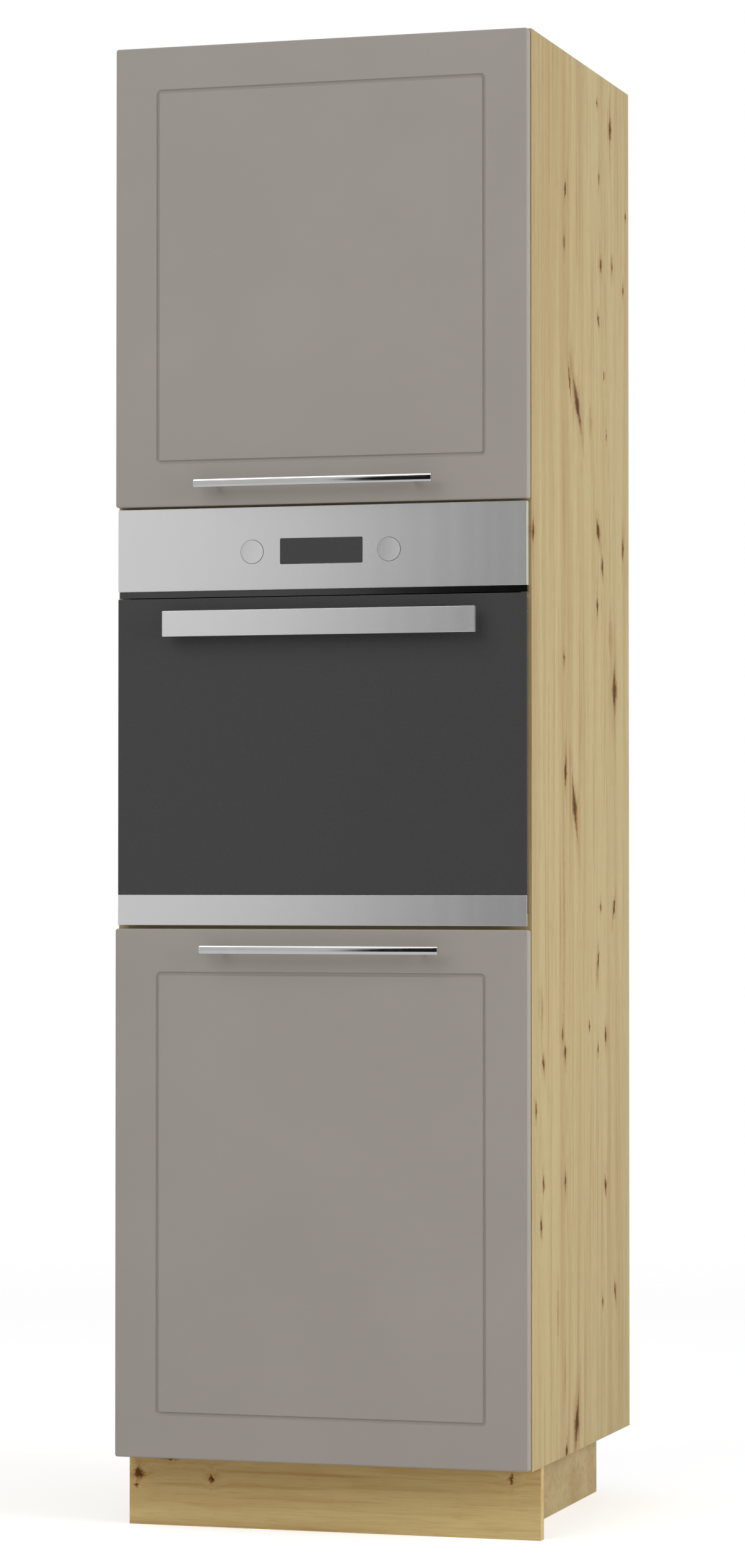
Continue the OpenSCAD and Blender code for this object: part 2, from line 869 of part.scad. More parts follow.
module hinge_plates() {
    color(steel_colour) place() difference() {
        for (level = all_hinges)
            block([-inner_x, plate_y[0], level - plate_wing],
                  [-inner_x + plate_t, plate_y[1], level + plate_wing]);
        hinge_plate_screws();
    }
}

module upper_hinge_cups() {
    color(steel_colour) place() hinge_cups(upper_hinges);
}

module lower_hinge_cups() {
    color(steel_colour) place() hinge_cups(lower_hinges);
}

// The hinge pins, the screws of the cups and the screws of the handle of one door
module door_fasteners(hinges, handle_x, handle_z) {
    for (level = hinges) hinge_pin(level, hinge_pin_r, pin_half);
    cup_screws(hinges);
    cup_screw_heads(hinges);
    for (side = [-1, 1]) {
        rod_y(handle_screw_r, handle_x + side * handle_pitch / 2,
              [door_front - handle_screw_in, -door_gap], handle_z);
        rod_y(handle_head_r, handle_x + side * handle_pitch / 2,
              [-door_gap, -door_gap + handle_head_t], handle_z);
    }
}

module upper_door_fasteners() {
    color(steel_colour) place() door_fasteners(upper_hinges, upper_handle_x, upper_handle_z);
}

module lower_door_fasteners() {
    color(steel_colour) place() door_fasteners(lower_hinges, lower_handle_x, lower_handle_z);
}

// ---------------------------------------------------------------- oven body

// Two levels, the place and the length of the screws that hold the oven
function oven_screw_levels() = [glass_z[0] + 20, glass_z[1] - 25];
function oven_screw_x() = inner_x + board_t / 2 - 1;
function oven_screw_in() = 25;

// The front frame: a plate round the cooking space, and a flange on each side
// that laps the side panels' front edges
module oven_front_frame() {
    lap = front_x - 2;
    z = [door_axis_z + 11, glass_z[1] - 6];
    color(steel_colour) place() difference() {
        union() {
            block([-body_x, frame_y, oven_base_z], [body_x, frame_y + frame_t, body_top]);
            both_sides() {
                block([body_x, -flange_t, z[0]], [lap, 0, z[1]]);
                block([body_x, -flange_t, z[0]], [body_x + flange_t, frame_y + frame_t, z[1]]);
            }
        }
        block([-cavity_x, frame_y - over, cavity_z[0]],
              [cavity_x, frame_y + frame_t + over, cavity_z[1]]);
        block([-body_x + 15, frame_y - over, deck_z + casing_t + 2],
              [body_x - 15, frame_y + frame_t + over, body_top - 6]);
        both_sides() front_screw_holes();
        both_sides() for (z = oven_screw_levels())
            rod_y(screw_r, oven_screw_x(), [-flange_t - over, over], z);
    }
}

// The outer sheets: a wrap with a deck under the control space, and a rear cover
module oven_casing() {
    y = [frame_y + frame_t, body_back - casing_t];
    color(steel_colour) place() {
        difference() {
            block([-body_x, y[0], oven_base_z], [body_x, y[1], body_top]);
            block([-body_x + casing_t, y[0] - over, oven_base_z + casing_t],
                  [body_x - casing_t, y[1] + over, deck_z]);
            block([-body_x + casing_t, y[0] - over, deck_z + casing_t],
                  [body_x - casing_t, y[1] + over, body_top - casing_t]);
        }
        difference() {
            block([-body_x, y[1], oven_base_z], [body_x, body_back, body_top]);
            for (i = [-5 : 5]) block([i * 36 - 12, y[1] - over, oven_base_z + 30],
                                     [i * 36 + 12, body_back + over, oven_base_z + 36]);
            rod_y(gland_r + 2, terminal_x, [y[1] - over, body_back + over], terminal_z);
        }
    }
}

// Where the heaters, the lamp and the fan's shaft pass the cavity's back
module back_passages(y, shaft_hole, socket_hole) {
    rod_y(shaft_hole, 0, y, fan_z);
    rod_y(socket_hole, lamp_x, y, lamp_z);
    for (x = [grill_runs[0], grill_runs[5]]) rod_y(heater_r, x, y, grill_z);
    for (x = [-ring_lead_x(), ring_lead_x()]) rod_y(heater_r, x, y, fan_z + ring_lead_z());
}

function ring_lead_x() = 14;
function ring_lead_z() = sqrt(ring_r * ring_r - ring_lead_x() * ring_lead_x());

module oven_cavity() {
    color(dark_colour) place() difference() {
        block([-cavity_x - cavity_t, cavity_y[0], cavity_z[0] - cavity_t],
              [cavity_x + cavity_t, cavity_back, cavity_z[1] + cavity_t]);
        block([-cavity_x, cavity_y[0] - over, cavity_z[0]],
              [cavity_x, cavity_y[1], cavity_z[1]]);
        back_passages([cavity_y[1] - over, cavity_back + over], shaft_r + 2, lamp_socket_r);
    }
}

module oven_insulation() {
    x = cavity_x + cavity_t;
    color("khaki") place() difference() {
        block([-x - wool_t, cavity_y[0], cavity_z[0] - cavity_t - wool_t],
              [x + wool_t, wool_back, deck_z]);
        block([-x, cavity_y[0] - over, cavity_z[0] - cavity_t],
              [x, cavity_back, cavity_z[1] + cavity_t]);
        back_passages([cavity_back - over, wool_back + over], motor_neck_r, lamp_socket_r);
    }
}

module door_gasket() {
    x = cavity_x + 7;
    z = [cavity_z[0] - 7, cavity_z[1] + 7];
    w = 7;
    y = [frame_y - gasket_t, frame_y];
    color(dark_colour) place() difference() {
        block([-x - w, y[0], z[0] - w], [x + w, y[1], z[1] + w]);
        block([-x, y[0] - over, z[0]], [x, y[1] + over, z[1]]);
    }
}

// The fixed half of the oven door's hinges
module oven_hinge_brackets() {
    z = [door_axis_z - door_eye_r, door_axis_z + door_eye_r];
    color(steel_colour) place() both_sides() difference() {
        union() {
            rod_x(door_eye_r, bracket_x, door_axis_y, door_axis_z);
            block([bracket_x[0], door_axis_y, z[0]], [bracket_x[1], frame_y, z[1]]);
            block([bracket_x[0] - 12, frame_y - 1.5, z[0]], [bracket_x[1], frame_y, z[1] + 8]);
        }
        rod_x(door_pin_r + pin_gap, [bracket_x[0] - over, bracket_x[1] + over],
              door_axis_y, door_axis_z);
    }
}

// ---------------------------------------------------------------- oven equipment

module fan_baffle() {
    y = [baffle_y, baffle_y + baffle_t];
    color(steel_colour) place() {
        difference() {
            block([-baffle_half, y[0], fan_z - baffle_half], [baffle_half, y[1], fan_z + baffle_half]);
            for (i = [0 : 11]) rotate_about_fan(i * 30)
                rod_y(baffle_hole_r, baffle_holes_at, [y[0] - over, y[1] + over], 0);
            for (i = [0 : 3]) rotate_about_fan(i * 90)
                block([-baffle_slot_half, y[0] - over, baffle_slot[0]],
                      [baffle_slot_half, y[1] + over, baffle_slot[1]]);
        }
        for (sx = [-1, 1], sz = [-1, 1])
            rod_y(baffle_post_r, sx * baffle_post, [y[1], cavity_y[1]], fan_z + sz * baffle_post);
    }
}

module rotate_about_fan(angle) {
    translate([0, 0, fan_z]) rotate([0, angle, 0]) children();
}

// The hot air fan and its shaft turn together
module convection_fan() {
    blades = 12;
    y = fan_y;
    color(steel_colour) place() {
        rod_y(fan_r, 0, [y[1], y[1] + fan_sheet_t], fan_z);
        rod_y(fan_hub_r, 0, [y[0], y[1]], fan_z);
        rod_y(shaft_r, 0, [y[0], wool_back + shaft_in], fan_z);
        for (i = [0 : blades - 1]) rotate_about_fan(i * 360 / blades)
            block([fan_r / 2, y[0], -fan_blade_t / 2],
                  [fan_r - fan_edge, y[1] + fan_sheet_t / 3, fan_blade_t / 2]);
    }
}

module fan_motor() {
    color(steel_colour) place() difference() {
        union() {
            rod_y(motor_neck_r, 0, [cavity_back, wool_back], fan_z);
            rod_y(motor_r, 0, [wool_back, wool_back + motor_l], fan_z);
        }
        rod_y(shaft_r + pin_gap, 0, [cavity_back - over, wool_back + motor_bore], fan_z);
    }
}

// Half a bend of a heater's tube, in the z plane, open towards +y or -y
module heater_bend(x, y, dir) {
    r = (grill_runs[1] - grill_runs[0]) / 2;
    translate([x, y, grill_z]) intersection() {
        rotate_extrude() translate([r, 0]) circle(r = heater_r);
        translate([-2 * r, dir > 0 ? 0 : -2 * r, -r]) cube([4 * r, 2 * r, 2 * r]);
    }
}

// The grill element under the cavity's ceiling, and the ring round the fan
module heating_elements() {
    r = (grill_runs[1] - grill_runs[0]) / 2;
    tail = wool_back + 8;
    color(dark_colour) place() {
        union() {
            for (i = [0 : 5])
                rod_y(heater_r, grill_runs[i],
                      [grill_y[0], i == 0 || i == 5 ? tail : grill_y[1]], grill_z);
            for (i = [0 : 2 : 4]) heater_bend(grill_runs[i] + r, grill_y[0], -1);
            for (i = [1 : 2 : 3]) heater_bend(grill_runs[i] + r, grill_y[1], 1);
        }
        union() {
            translate([0, baffle_y + 20, fan_z]) rotate([90, 0, 0])
                rotate_extrude() translate([ring_r, 0]) circle(r = heater_r);
            for (x = [-ring_lead_x(), ring_lead_x()])
                rod_y(heater_r, x, [baffle_y + 20, tail], fan_z + ring_lead_z());
        }
    }
}

module oven_lamp() {
    color("white") place() {
        rod_y(lamp_r, lamp_x, [cavity_y[1] - 9, cavity_y[1]], lamp_z);
        rod_y(lamp_socket_r, lamp_x, [cavity_y[1], wool_back + 4], lamp_z);
    }
}

// The ladders that carry the shelf and the tray
module rack_guides() {
    ends = [rail_levels[0] - 25, rail_levels[rail_count - 1] + 25];
    color(chrome_colour) place() both_sides() {
        for (y = rail_y) {
            rod_z(wire_r, guide_x, y, ends);
            for (z = [ends[0] + 6, ends[1] - 6]) rod_x(wire_r, [guide_x, cavity_x], y, z);
        }
        for (z = rail_levels) {
            rod_y(rail_r, rail_x, [rail_y[0] - wire_r, rail_y[1] + wire_r], z);
            for (y = rail_y) rod_x(wire_r, [rail_x, guide_x], y, z);
        }
    }
}

module wire_shelf() {
    z = shelf_rail_z + 2 * rail_r;
    bars = 13;
    pitch = 2 * rail_x / (bars + 1);
    color(chrome_colour) place() {
        for (x = [-rail_x, rail_x]) rod_y(rail_r, x, rack_y, z);
        for (y = rack_y) rod_x(rail_r, [-rail_x, rail_x], y, z);
        for (y = rack_y, x = [-rail_x, rail_x]) translate([x, y, z]) sphere(r = rail_r);
        for (i = [1 : bars])
            rod_y(wire_r * 0.8, -rail_x + i * pitch, rack_y, z + rail_r * 0.6);
    }
}

module baking_tray() {
    top = tray_rail_z + rail_r + tray_t;
    x = rail_x - rail_r - 2;
    y = [rack_y[0] + 8, rack_y[1] - 8];
    color(dark_colour) place() difference() {
        union() {
            block([-rail_x - 1, rack_y[0], top - tray_t], [rail_x + 1, rack_y[1], top]);
            block([-x, y[0], top - tray_deep], [x, y[1], top]);
        }
        block([-x + tray_t, y[0] + tray_t, top - tray_deep + tray_t],
              [x - tray_t, y[1] - tray_t, top + over]);
    }
}

// The blower on the deck: a round housing with a duct that ends behind the front
module cooling_fan_housing() {
    r = blower_r + blower_gap;
    t = casing_t;
    z = [blower_z, blower_z + blower_h];
    duct_y = frame_y + 8;
    color(steel_colour) place() difference() {
        union() {
            difference() {
                union() {
                    rod_z(r + t, 0, blower_y, z);
                    block([-duct_x, duct_y, z[0]], [duct_x, blower_y, z[0] + duct_h]);
                }
                rod_z(r, 0, blower_y, [z[0] + t, z[1] - t]);
                block([-duct_x + t, duct_y - over, z[0] + t],
                      [duct_x - t, blower_y, z[0] + duct_h - t]);
            }
            rod_z(spindle_r, 0, blower_y, [z[0], z[0] + 24]);
        }
        rod_z(blower_r * 0.6, 0, blower_y, [z[1] - 2 * t, z[1] + over]);
    }
}

module cooling_fan() {
    blades = 16;
    z = [blower_z + casing_t + 3, blower_z + blower_h - casing_t - 5];
    color(dark_colour) place() difference() {
        union() {
            rod_z(blower_r, 0, blower_y, [z[0], z[0] + 2]);
            rod_z(10, 0, blower_y, [z[0], z[0] + 24]);
            for (i = [0 : blades - 1]) translate([0, blower_y, 0]) rotate([0, 0, i * 360 / blades])
                block([blower_r * 0.72, -0.75, z[0]], [blower_r - 1, 0.75, z[1]]);
        }
        rod_z(spindle_r + pin_gap, 0, blower_y, [z[0] - over, blower_z + 25]);
    }
}

// The supply's terminal box behind the rear cover, with its cable gland
module terminal_box() {
    half = terminal_size[0] / 2;
    up = terminal_size[2] / 2;
    y = [body_back, body_back + terminal_size[1]];
    t = 2;
    color(dark_colour) place() difference() {
        union() {
            block([terminal_x - half, y[0], terminal_z - up],
                  [terminal_x + half, y[1], terminal_z + up]);
            rod_y(gland_r + gland_wall, terminal_x, [y[1] - t, y[1] + gland_l], terminal_z);
        }
        block([terminal_x - half + t, y[0] - over, terminal_z - up + t],
              [terminal_x + half - t, y[1] - t, terminal_z + up - t]);
        rod_y(gland_r, terminal_x, [y[1] - 2 * t, y[1] + gland_l + over], terminal_z);
    }
}

// ---------------------------------------------------------------- oven controls

module display_outline(grow) {
    offset_w = display_w / 2 + grow;
    offset_h = display_h / 2 + grow;
    r = 2;
    for (x = [-offset_w + r, offset_w - r], z = [-offset_h + r, offset_h - r])
        translate([x, z]) circle(r = r);
    square([2 * offset_w - 2 * r, 2 * offset_h], center = true);
    square([2 * offset_w, 2 * offset_h - 2 * r], center = true);
}

module display_block(y, grow) {
    translate([display_x, y[1], controls_z]) rotate([90, 0, 0])
        linear_extrude(y[1] - y[0]) display_outline(grow);
}

// A folded steel front with its side cheeks and the posts of the circuit board
module control_panel() {
    x = front_x - sheet_t;
    cheek = body_x - 3;
    z = [panel_z[0] + sheet_t, panel_z[1] - sheet_t];
    color(steel_colour) place() difference() {
        union() {
            difference() {
                block([-front_x, front_y, panel_z[0]], [front_x, -flange_t, panel_z[1]]);
                block([-x, front_y + sheet_t, z[0]], [x, 0, z[1]]);
            }
            both_sides() {
                block([cheek - sheet_t, front_y, z[0] + 4], [cheek, frame_y, body_top - 1]);
                for (up = [-1, 1])
                    rod_y(circuit_post_r, circuit_post_x, [front_y + sheet_t / 2, board_y],
                          controls_z + up * circuit_post_up);
            }
        }
        display_block([front_y - over, front_y + 2 * sheet_t], 0);
        for (kx = knob_places)
            rod_y(knob_r + knob_gap, kx, [front_y - over, front_y + 2 * sheet_t], controls_z);
    }
}

module display_glass() {
    color(dark_colour) place() union() {
        display_block([front_y + 0.3, front_y + sheet_t], 0);
        display_block([front_y + sheet_t, front_y + sheet_t + 1], 3);
    }
}

// The circuit board with the display module and the two selector switches
module control_electronics() {
    y = [board_y, board_y + circuit_t];
    front = front_y + sheet_t + 1;
    half = switch_t;
    color("green") place() difference() {
        union() {
            block([-circuit_x, y[0], controls_z - circuit_up], [circuit_x, y[1], controls_z + circuit_up]);
            block([display_x - display_w / 2 + 4, front, controls_z - display_h / 2],
                  [display_x + display_w / 2 - 4, y[0], controls_z + display_h / 2]);
            for (kx = knob_places) block([kx - half, y[1], controls_z - half],
                                         [kx + half, y[1] + switch_t, controls_z + half]);
        }
        for (kx = knob_places) {
            rod_y(spindle_r + pin_gap, kx, [y[0] - over, y[1] + switch_t - 4], controls_z);
        }
    }
}

// A knob, flush with the panel at rest, with a bore for its spindle
module knob(x) {
    y = [front_y - knob_out, knob_back];
    color(steel_colour) place() difference() {
        rod_y(knob_r, x, y, controls_z);
        rod_y(spindle_r + pin_gap, x, [y[0] + 2, y[1] + over], controls_z);
    }
}

// A knob's spindle turns in the switch and guides the knob as it pops out
module spindle(x) {
    color(steel_colour) place() rod_y(spindle_r, x,
        [front_y - knob_out + 2.5, board_y + circuit_t + switch_t - 4.5], controls_z);
}

module left_spindle() {
    spindle(knob_places[0]);
}

module right_spindle() {
    spindle(knob_places[1]);
}

module left_knob() {
    knob(knob_places[0]);
}

module right_knob() {
    knob(knob_places[1]);
}

// The dark strip in the air slot, with its row of outlets
// The dark strip between panel and door: air comes from behind through its pockets and
// leaves below its front blade, over the door
module vent_strip() {
    slots = 18;
    end = 12;
    rib = 6;
    skin = 1.8;
    pitch = 2 * (body_x - end) / slots;
    y = front_y + 5;
    z = [glass_z[1] + 1.5, panel_z[0]];
    color(dark_colour) place() difference() {
        union() {
            block([-front_x + 1, y, z[0]], [front_x - 1, -flange_t, z[1]]);
            block([-body_x + 1, -flange_t, z[0]], [body_x - 1, frame_y, z[1]]);
        }
        for (i = [0 : slots - 1]) {
            x = -body_x + end + (i + 0.5) * pitch;
            block([x - (pitch - rib) / 2, y + skin, z[0] - over],
                  [x + (pitch - rib) / 2, frame_y + over, z[1] - skin]);
        }
    }
}

// ---------------------------------------------------------------- oven door

module bar_screw_cuts() {
    for (side = [-1, 1])
        rod_y(bar_screw_r, bar_x + side * bar_pitch / 2,
              [front_y - bar_screw_in, bar_head_y + over], bar_z);
}

module oven_door_glass() {
    y = [door_back - inner_glass_t, door_back];
    lap = inner_glass_lap;
    color(dark_colour) place() {
        difference() {
            block([-front_x, front_y, glass_z[0]], [front_x, front_y + glass_t, glass_z[1]]);
            bar_screw_cuts();
        }
        block([-window_x - lap, y[0], window_z[0] - lap], [window_x + lap, y[1], window_z[1] + lap]);
    }
}

module oven_door_trim() {
    spacer = [front_y + sheet_t, front_y + glass_t];
    color(steel_colour) place() {
        block([-front_x, front_y, oven_base_z], [front_x, front_y + sheet_t, glass_z[0]]);
        block([-door_body_x, spacer[0], door_body_z[0]],
              [door_body_x, spacer[1], glass_z[0]]);
    }
}

// The door's inner frame with its end plates and hinge pins
module oven_door_frame() {
    y = [front_y + glass_t, door_back];
    lap = inner_glass_lap;
    t = door_sheet_t;
    color(dark_colour) place() difference() {
        union() {
            difference() {
                block([-door_body_x, y[0], door_body_z[0]], [door_body_x, y[1], door_body_z[1]]);
                block([-door_body_x + t, y[0] - over, door_body_z[0] + t],
                      [door_body_x - t, y[1] - inner_glass_t - t, door_body_z[1] - t]);
            }
            difference() {
                block([-window_x - t, y[0], window_z[0] - t],
                      [window_x + t, y[1] - inner_glass_t, window_z[1] + t]);
                block([-window_x, y[0] - over, window_z[0]], [window_x, y[1], window_z[1]]);
            }
            for (side = [-1, 1]) rod_y(bar_head_r + 2, bar_x + side * bar_pitch / 2,
                                       [y[0], bar_head_y + over], bar_z);
            both_sides() {
                block([door_body_x, y[0], door_axis_z - door_eye_r],
                      [door_body_x + end_plate_t, y[1] - 2, door_axis_z + end_plate_up]);
                rod_x(door_eye_r, [door_body_x, door_body_x + end_plate_t],
                      door_axis_y, door_axis_z);
                rod_x(door_pin_r, [door_body_x, bracket_x[1]], door_axis_y, door_axis_z);
            }
        }
        block([-window_x, y[0] - over, window_z[0]], [window_x, y[1] + over, window_z[1]]);
        block([-window_x - lap, y[1] - inner_glass_t, window_z[0] - lap],
              [window_x + lap, y[1] + over, window_z[1] + lap]);
        bar_screw_cuts();
        for (side = [-1, 1]) rod_y(bar_head_r, bar_x + side * bar_pitch / 2,
                                   [bar_head_y, y[1] + over], bar_z);
    }
}

// The flat bar with its two posts
module oven_door_handle() {
    front = front_y - bar_reach;
    color(steel_colour) place() difference() {
        union() {
            block([bar_x - bar_l / 2, front, bar_z - bar_h / 2],
                  [bar_x + bar_l / 2, front + bar_t, bar_z + bar_h / 2]);
            for (side = [-1, 1]) rod_y(bar_post_r, bar_x + side * bar_pitch / 2,
                                       [front + bar_t, front_y], bar_z);
        }
        bar_screw_cuts();
    }
}

// The screws that hold the oven handle from inside the door
module oven_handle_screws() {
    color(steel_colour) place() for (side = [-1, 1]) {
        x = bar_x + side * bar_pitch / 2;
        rod_y(bar_screw_r, x, [front_y - bar_screw_in, bar_head_y], bar_z);
        rod_y(bar_head_r, x, [bar_head_y, bar_head_y + bar_head_t], bar_z);
    }
}

// ---------------------------------------------------------------- screws

// The screws of the hinge plates, the legs, the brackets and the oven
module cabinet_screws() {
    x = -inner_x + plate_t;
    color(steel_colour) place() {
        hinge_plate_screws();
        for (level = all_hinges, side = [-1, 1])
            rod_x(screw_head_r, [x, x + screw_head_t], plate_screw_y, level + side * plate_screw_up);
        leg_screws();
        bracket_screws();
        both_sides() for (z = oven_screw_levels()) {
            rod_y(screw_r, oven_screw_x(), [-flange_t, oven_screw_in()], z);
            rod_y(screw_head_r, oven_screw_x(), [-flange_t - screw_head_t, -flange_t], z);
        }
    }
}

side_panel_left();
side_panel_right();
top_panel();
bottom_panel();
oven_shelf();
divider_shelf();
back_sheets();
adjustable_shelves();
shelf_pins();
cam_fittings();
plinth_front();
plinth_sides();
plinth_clips();
leg_sockets();
foot_front_left();
foot_front_right();
foot_rear_left();
foot_rear_right();
wall_brackets();
hinge_plates();
hinge_arms();
cabinet_screws();
upper_door();
upper_handle();
upper_hinge_cups();
upper_door_fasteners();
lower_door();
lower_handle();
lower_hinge_cups();
lower_door_fasteners();
oven_casing();
oven_front_frame();
oven_hinge_brackets();
oven_cavity();
oven_insulation();
door_gasket();
fan_baffle();
fan_motor();
heating_elements();
oven_lamp();
rack_guides();
wire_shelf();
baking_tray();
control_panel();
display_glass();
control_electronics();
vent_strip();
cooling_fan_housing();
terminal_box();
convection_fan();
cooling_fan();
oven_door_frame();
oven_door_glass();
oven_door_trim();
oven_door_handle();
oven_handle_screws();
left_spindle();
right_spindle();
left_knob();
right_knob();
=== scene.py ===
"""The looks of the tall kitchen unit with its built-in oven, round its fixed frame.

Metres, +Z up, the doors face -Y. Places and sizes are read from the frame's own boxes.
"""

import json
import math

import bmesh
import bpy
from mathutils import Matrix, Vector
from mathutils.geometry import tessellate_polygon

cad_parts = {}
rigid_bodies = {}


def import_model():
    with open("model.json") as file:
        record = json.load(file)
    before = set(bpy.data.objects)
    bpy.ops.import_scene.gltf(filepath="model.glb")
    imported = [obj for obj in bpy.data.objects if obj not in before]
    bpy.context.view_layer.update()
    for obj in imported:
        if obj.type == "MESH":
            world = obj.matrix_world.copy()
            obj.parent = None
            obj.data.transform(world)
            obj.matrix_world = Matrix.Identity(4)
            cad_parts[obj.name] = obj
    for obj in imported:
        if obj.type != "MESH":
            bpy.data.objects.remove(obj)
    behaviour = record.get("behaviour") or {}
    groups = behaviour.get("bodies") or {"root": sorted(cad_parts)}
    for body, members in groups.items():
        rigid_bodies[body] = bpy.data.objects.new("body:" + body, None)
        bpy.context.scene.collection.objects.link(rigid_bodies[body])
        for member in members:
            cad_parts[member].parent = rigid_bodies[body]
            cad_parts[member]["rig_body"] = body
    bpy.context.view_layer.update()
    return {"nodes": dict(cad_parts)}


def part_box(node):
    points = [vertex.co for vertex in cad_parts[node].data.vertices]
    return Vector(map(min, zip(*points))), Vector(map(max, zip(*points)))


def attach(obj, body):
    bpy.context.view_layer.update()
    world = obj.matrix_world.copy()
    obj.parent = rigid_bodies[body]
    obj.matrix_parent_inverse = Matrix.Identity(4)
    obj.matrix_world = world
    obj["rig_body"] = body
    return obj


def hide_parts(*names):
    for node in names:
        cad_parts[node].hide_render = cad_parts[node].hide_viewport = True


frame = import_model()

nodes = frame["nodes"]
scene = bpy.context.scene
MM = 0.001

# ---------------------------------------------------------------- camera

CAMERA_PLACE = (1.910, -6.367, 0.912)
CAMERA_TURN = math.radians(16.752)
CAMERA_TILT = math.radians(1.158)
LENS = 105.86
SENSOR = 36.0
FARTHEST = 60.0


def make_camera():
    """The camera of the photograph, fitted to the straight edges of the object."""
    data = bpy.data.cameras.new("camera")
    data.lens = LENS
    data.sensor_width = SENSOR
    data.clip_end = FARTHEST
    camera = bpy.data.objects.new("camera", data)
    camera.location = CAMERA_PLACE
    camera.rotation_euler = (math.pi / 2 + CAMERA_TILT, 0.0, CAMERA_TURN)
    scene.collection.objects.link(camera)
    scene.camera = camera


# ---------------------------------------------------------------- shader graphs


def srgb(red, green, blue):
    """A colour given in 0 to 255 display values, as linear values."""
    linear = []
    for value in (red, green, blue):
        share = value / 255
        linear.append(share / 12.92 if share <= 0.04045 else ((share + 0.055) / 1.055) ** 2.4)
    return (*linear, 1.0)


def grey(value):
    """A neutral tone given as one display value."""
    return srgb(value, value, value)


class Graph:
    """A material under construction: short calls that add nodes and link them."""

    def __init__(self, name, **shader):
        self.material = bpy.data.materials.new(name)
        self.material.use_nodes = True
        self.tree = self.material.node_tree
        self.shader = self.tree.nodes["Principled BSDF"]
        for socket, value in shader.items():
            self.shader.inputs[socket.replace("_", " ")].default_value = value

    def add(self, kind, settings=None, **inputs):
        """A new node; underscores in the names of inputs stand for spaces."""
        node = self.tree.nodes.new(kind)
        for key, value in (settings or {}).items():
            setattr(node, key, value)
        for key, value in inputs.items():
            self.join(value, node.inputs[key.replace("_", " ")])
        return node

    def join(self, value, socket):
        """Links a socket to another socket, or gives it a plain value."""
        if isinstance(value, bpy.types.NodeSocket):
            self.tree.links.new(value, socket)
        else:
            socket.default_value = value

    def place(self, scale=(1, 1, 1), shift=(0, 0, 0), source=None):
        """The place on the object in metres, stretched and shifted."""
        source = source or self.add("ShaderNodeTexCoord").outputs["Object"]
        node = self.add("ShaderNodeMapping", Vector=source, Location=shift, Scale=scale)
        return node.outputs[0]

    def stamp(self, vector, place, turn, half):
        """The vector measured from place, turned back, in units of the half sizes."""
        node = self.add("ShaderNodeMapping", {"vector_type": "TEXTURE"}, Vector=vector,
                        Location=place, Rotation=turn, Scale=half)
        return node.outputs[0]

    def noise(self, vector, scale, detail=3.0, rough=0.5, twist=0.0):
        """Soft noise from 0 to 1."""
        node = self.add("ShaderNodeTexNoise", Vector=vector, Scale=scale, Detail=detail,
                        Roughness=rough, Distortion=twist)
        return node.outputs[0]

    def cells(self, vector, scale, output="Distance"):
        """Voronoi cells: the distance to their middles, or a colour for each."""
        return self.add("ShaderNodeTexVoronoi", Vector=vector, Scale=scale).outputs[output]

    def calc(self, operation, first, second=0.0, third=0.0):
        """One operation on single values."""
        node = self.add("ShaderNodeMath", {"operation": operation})
        for socket, value in zip(node.inputs, (first, second, third)):
            self.join(value, socket)
        return node.outputs[0]

    def vector_calc(self, operation, first, second=(0, 0, 0), output=0):
        """One operation on vectors; its output 1 is a single value."""
        node = self.add("ShaderNodeVectorMath", {"operation": operation})
        self.join(first, node.inputs[0])
        self.join(second, node.inputs[1])
        return node.outputs[output]

    def spread(self, value, low, high, to_low=0.0, to_high=1.0):
        """value from low..high to to_low..to_high, smooth and held at the ends."""
        node = self.add("ShaderNodeMapRange", {"interpolation_type": "SMOOTHSTEP"},
                        Value=value, From_Min=low, From_Max=high, To_Min=to_low, To_Max=to_high)
        return node.outputs[0]

    def mix(self, share, first, second, blend="MIX"):
        """From the first colour at share 0 to the second at share 1."""
        node = self.add("ShaderNodeMix", {"data_type": "RGBA", "blend_type": blend})
        self.join(share, node.inputs[0])
        self.join(first, node.inputs[6])
        self.join(second, node.inputs[7])
        return node.outputs[2]

    def layer(self, pattern, start, full, most, under, tone):
        """tone over under: none where pattern is at start, the share most where at full."""
        share = self.calc("MULTIPLY", self.spread(pattern, start, full), most)
        return self.mix(share, under, tone)

    def colour(self, value):
        self.join(value, self.shader.inputs["Base Color"])

    def rough(self, value):
        self.join(value, self.shader.inputs["Roughness"])

    def bump(self, height, depth):
        """A relief whose full height is depth metres."""
        node = self.add("ShaderNodeBump", Height=height, Distance=depth, Strength=1.0)
        self.join(node.outputs[0], self.shader.inputs["Normal"])


# ---------------------------------------------------------------- wood print

OAK_LIGHT = srgb(185, 169, 127)
OAK_WARM = srgb(171, 149, 108)
OAK_STREAK = srgb(148, 116, 74)
OAK_KNOT = srgb(66, 36, 8)
OAK_HALO = srgb(134, 92, 46)

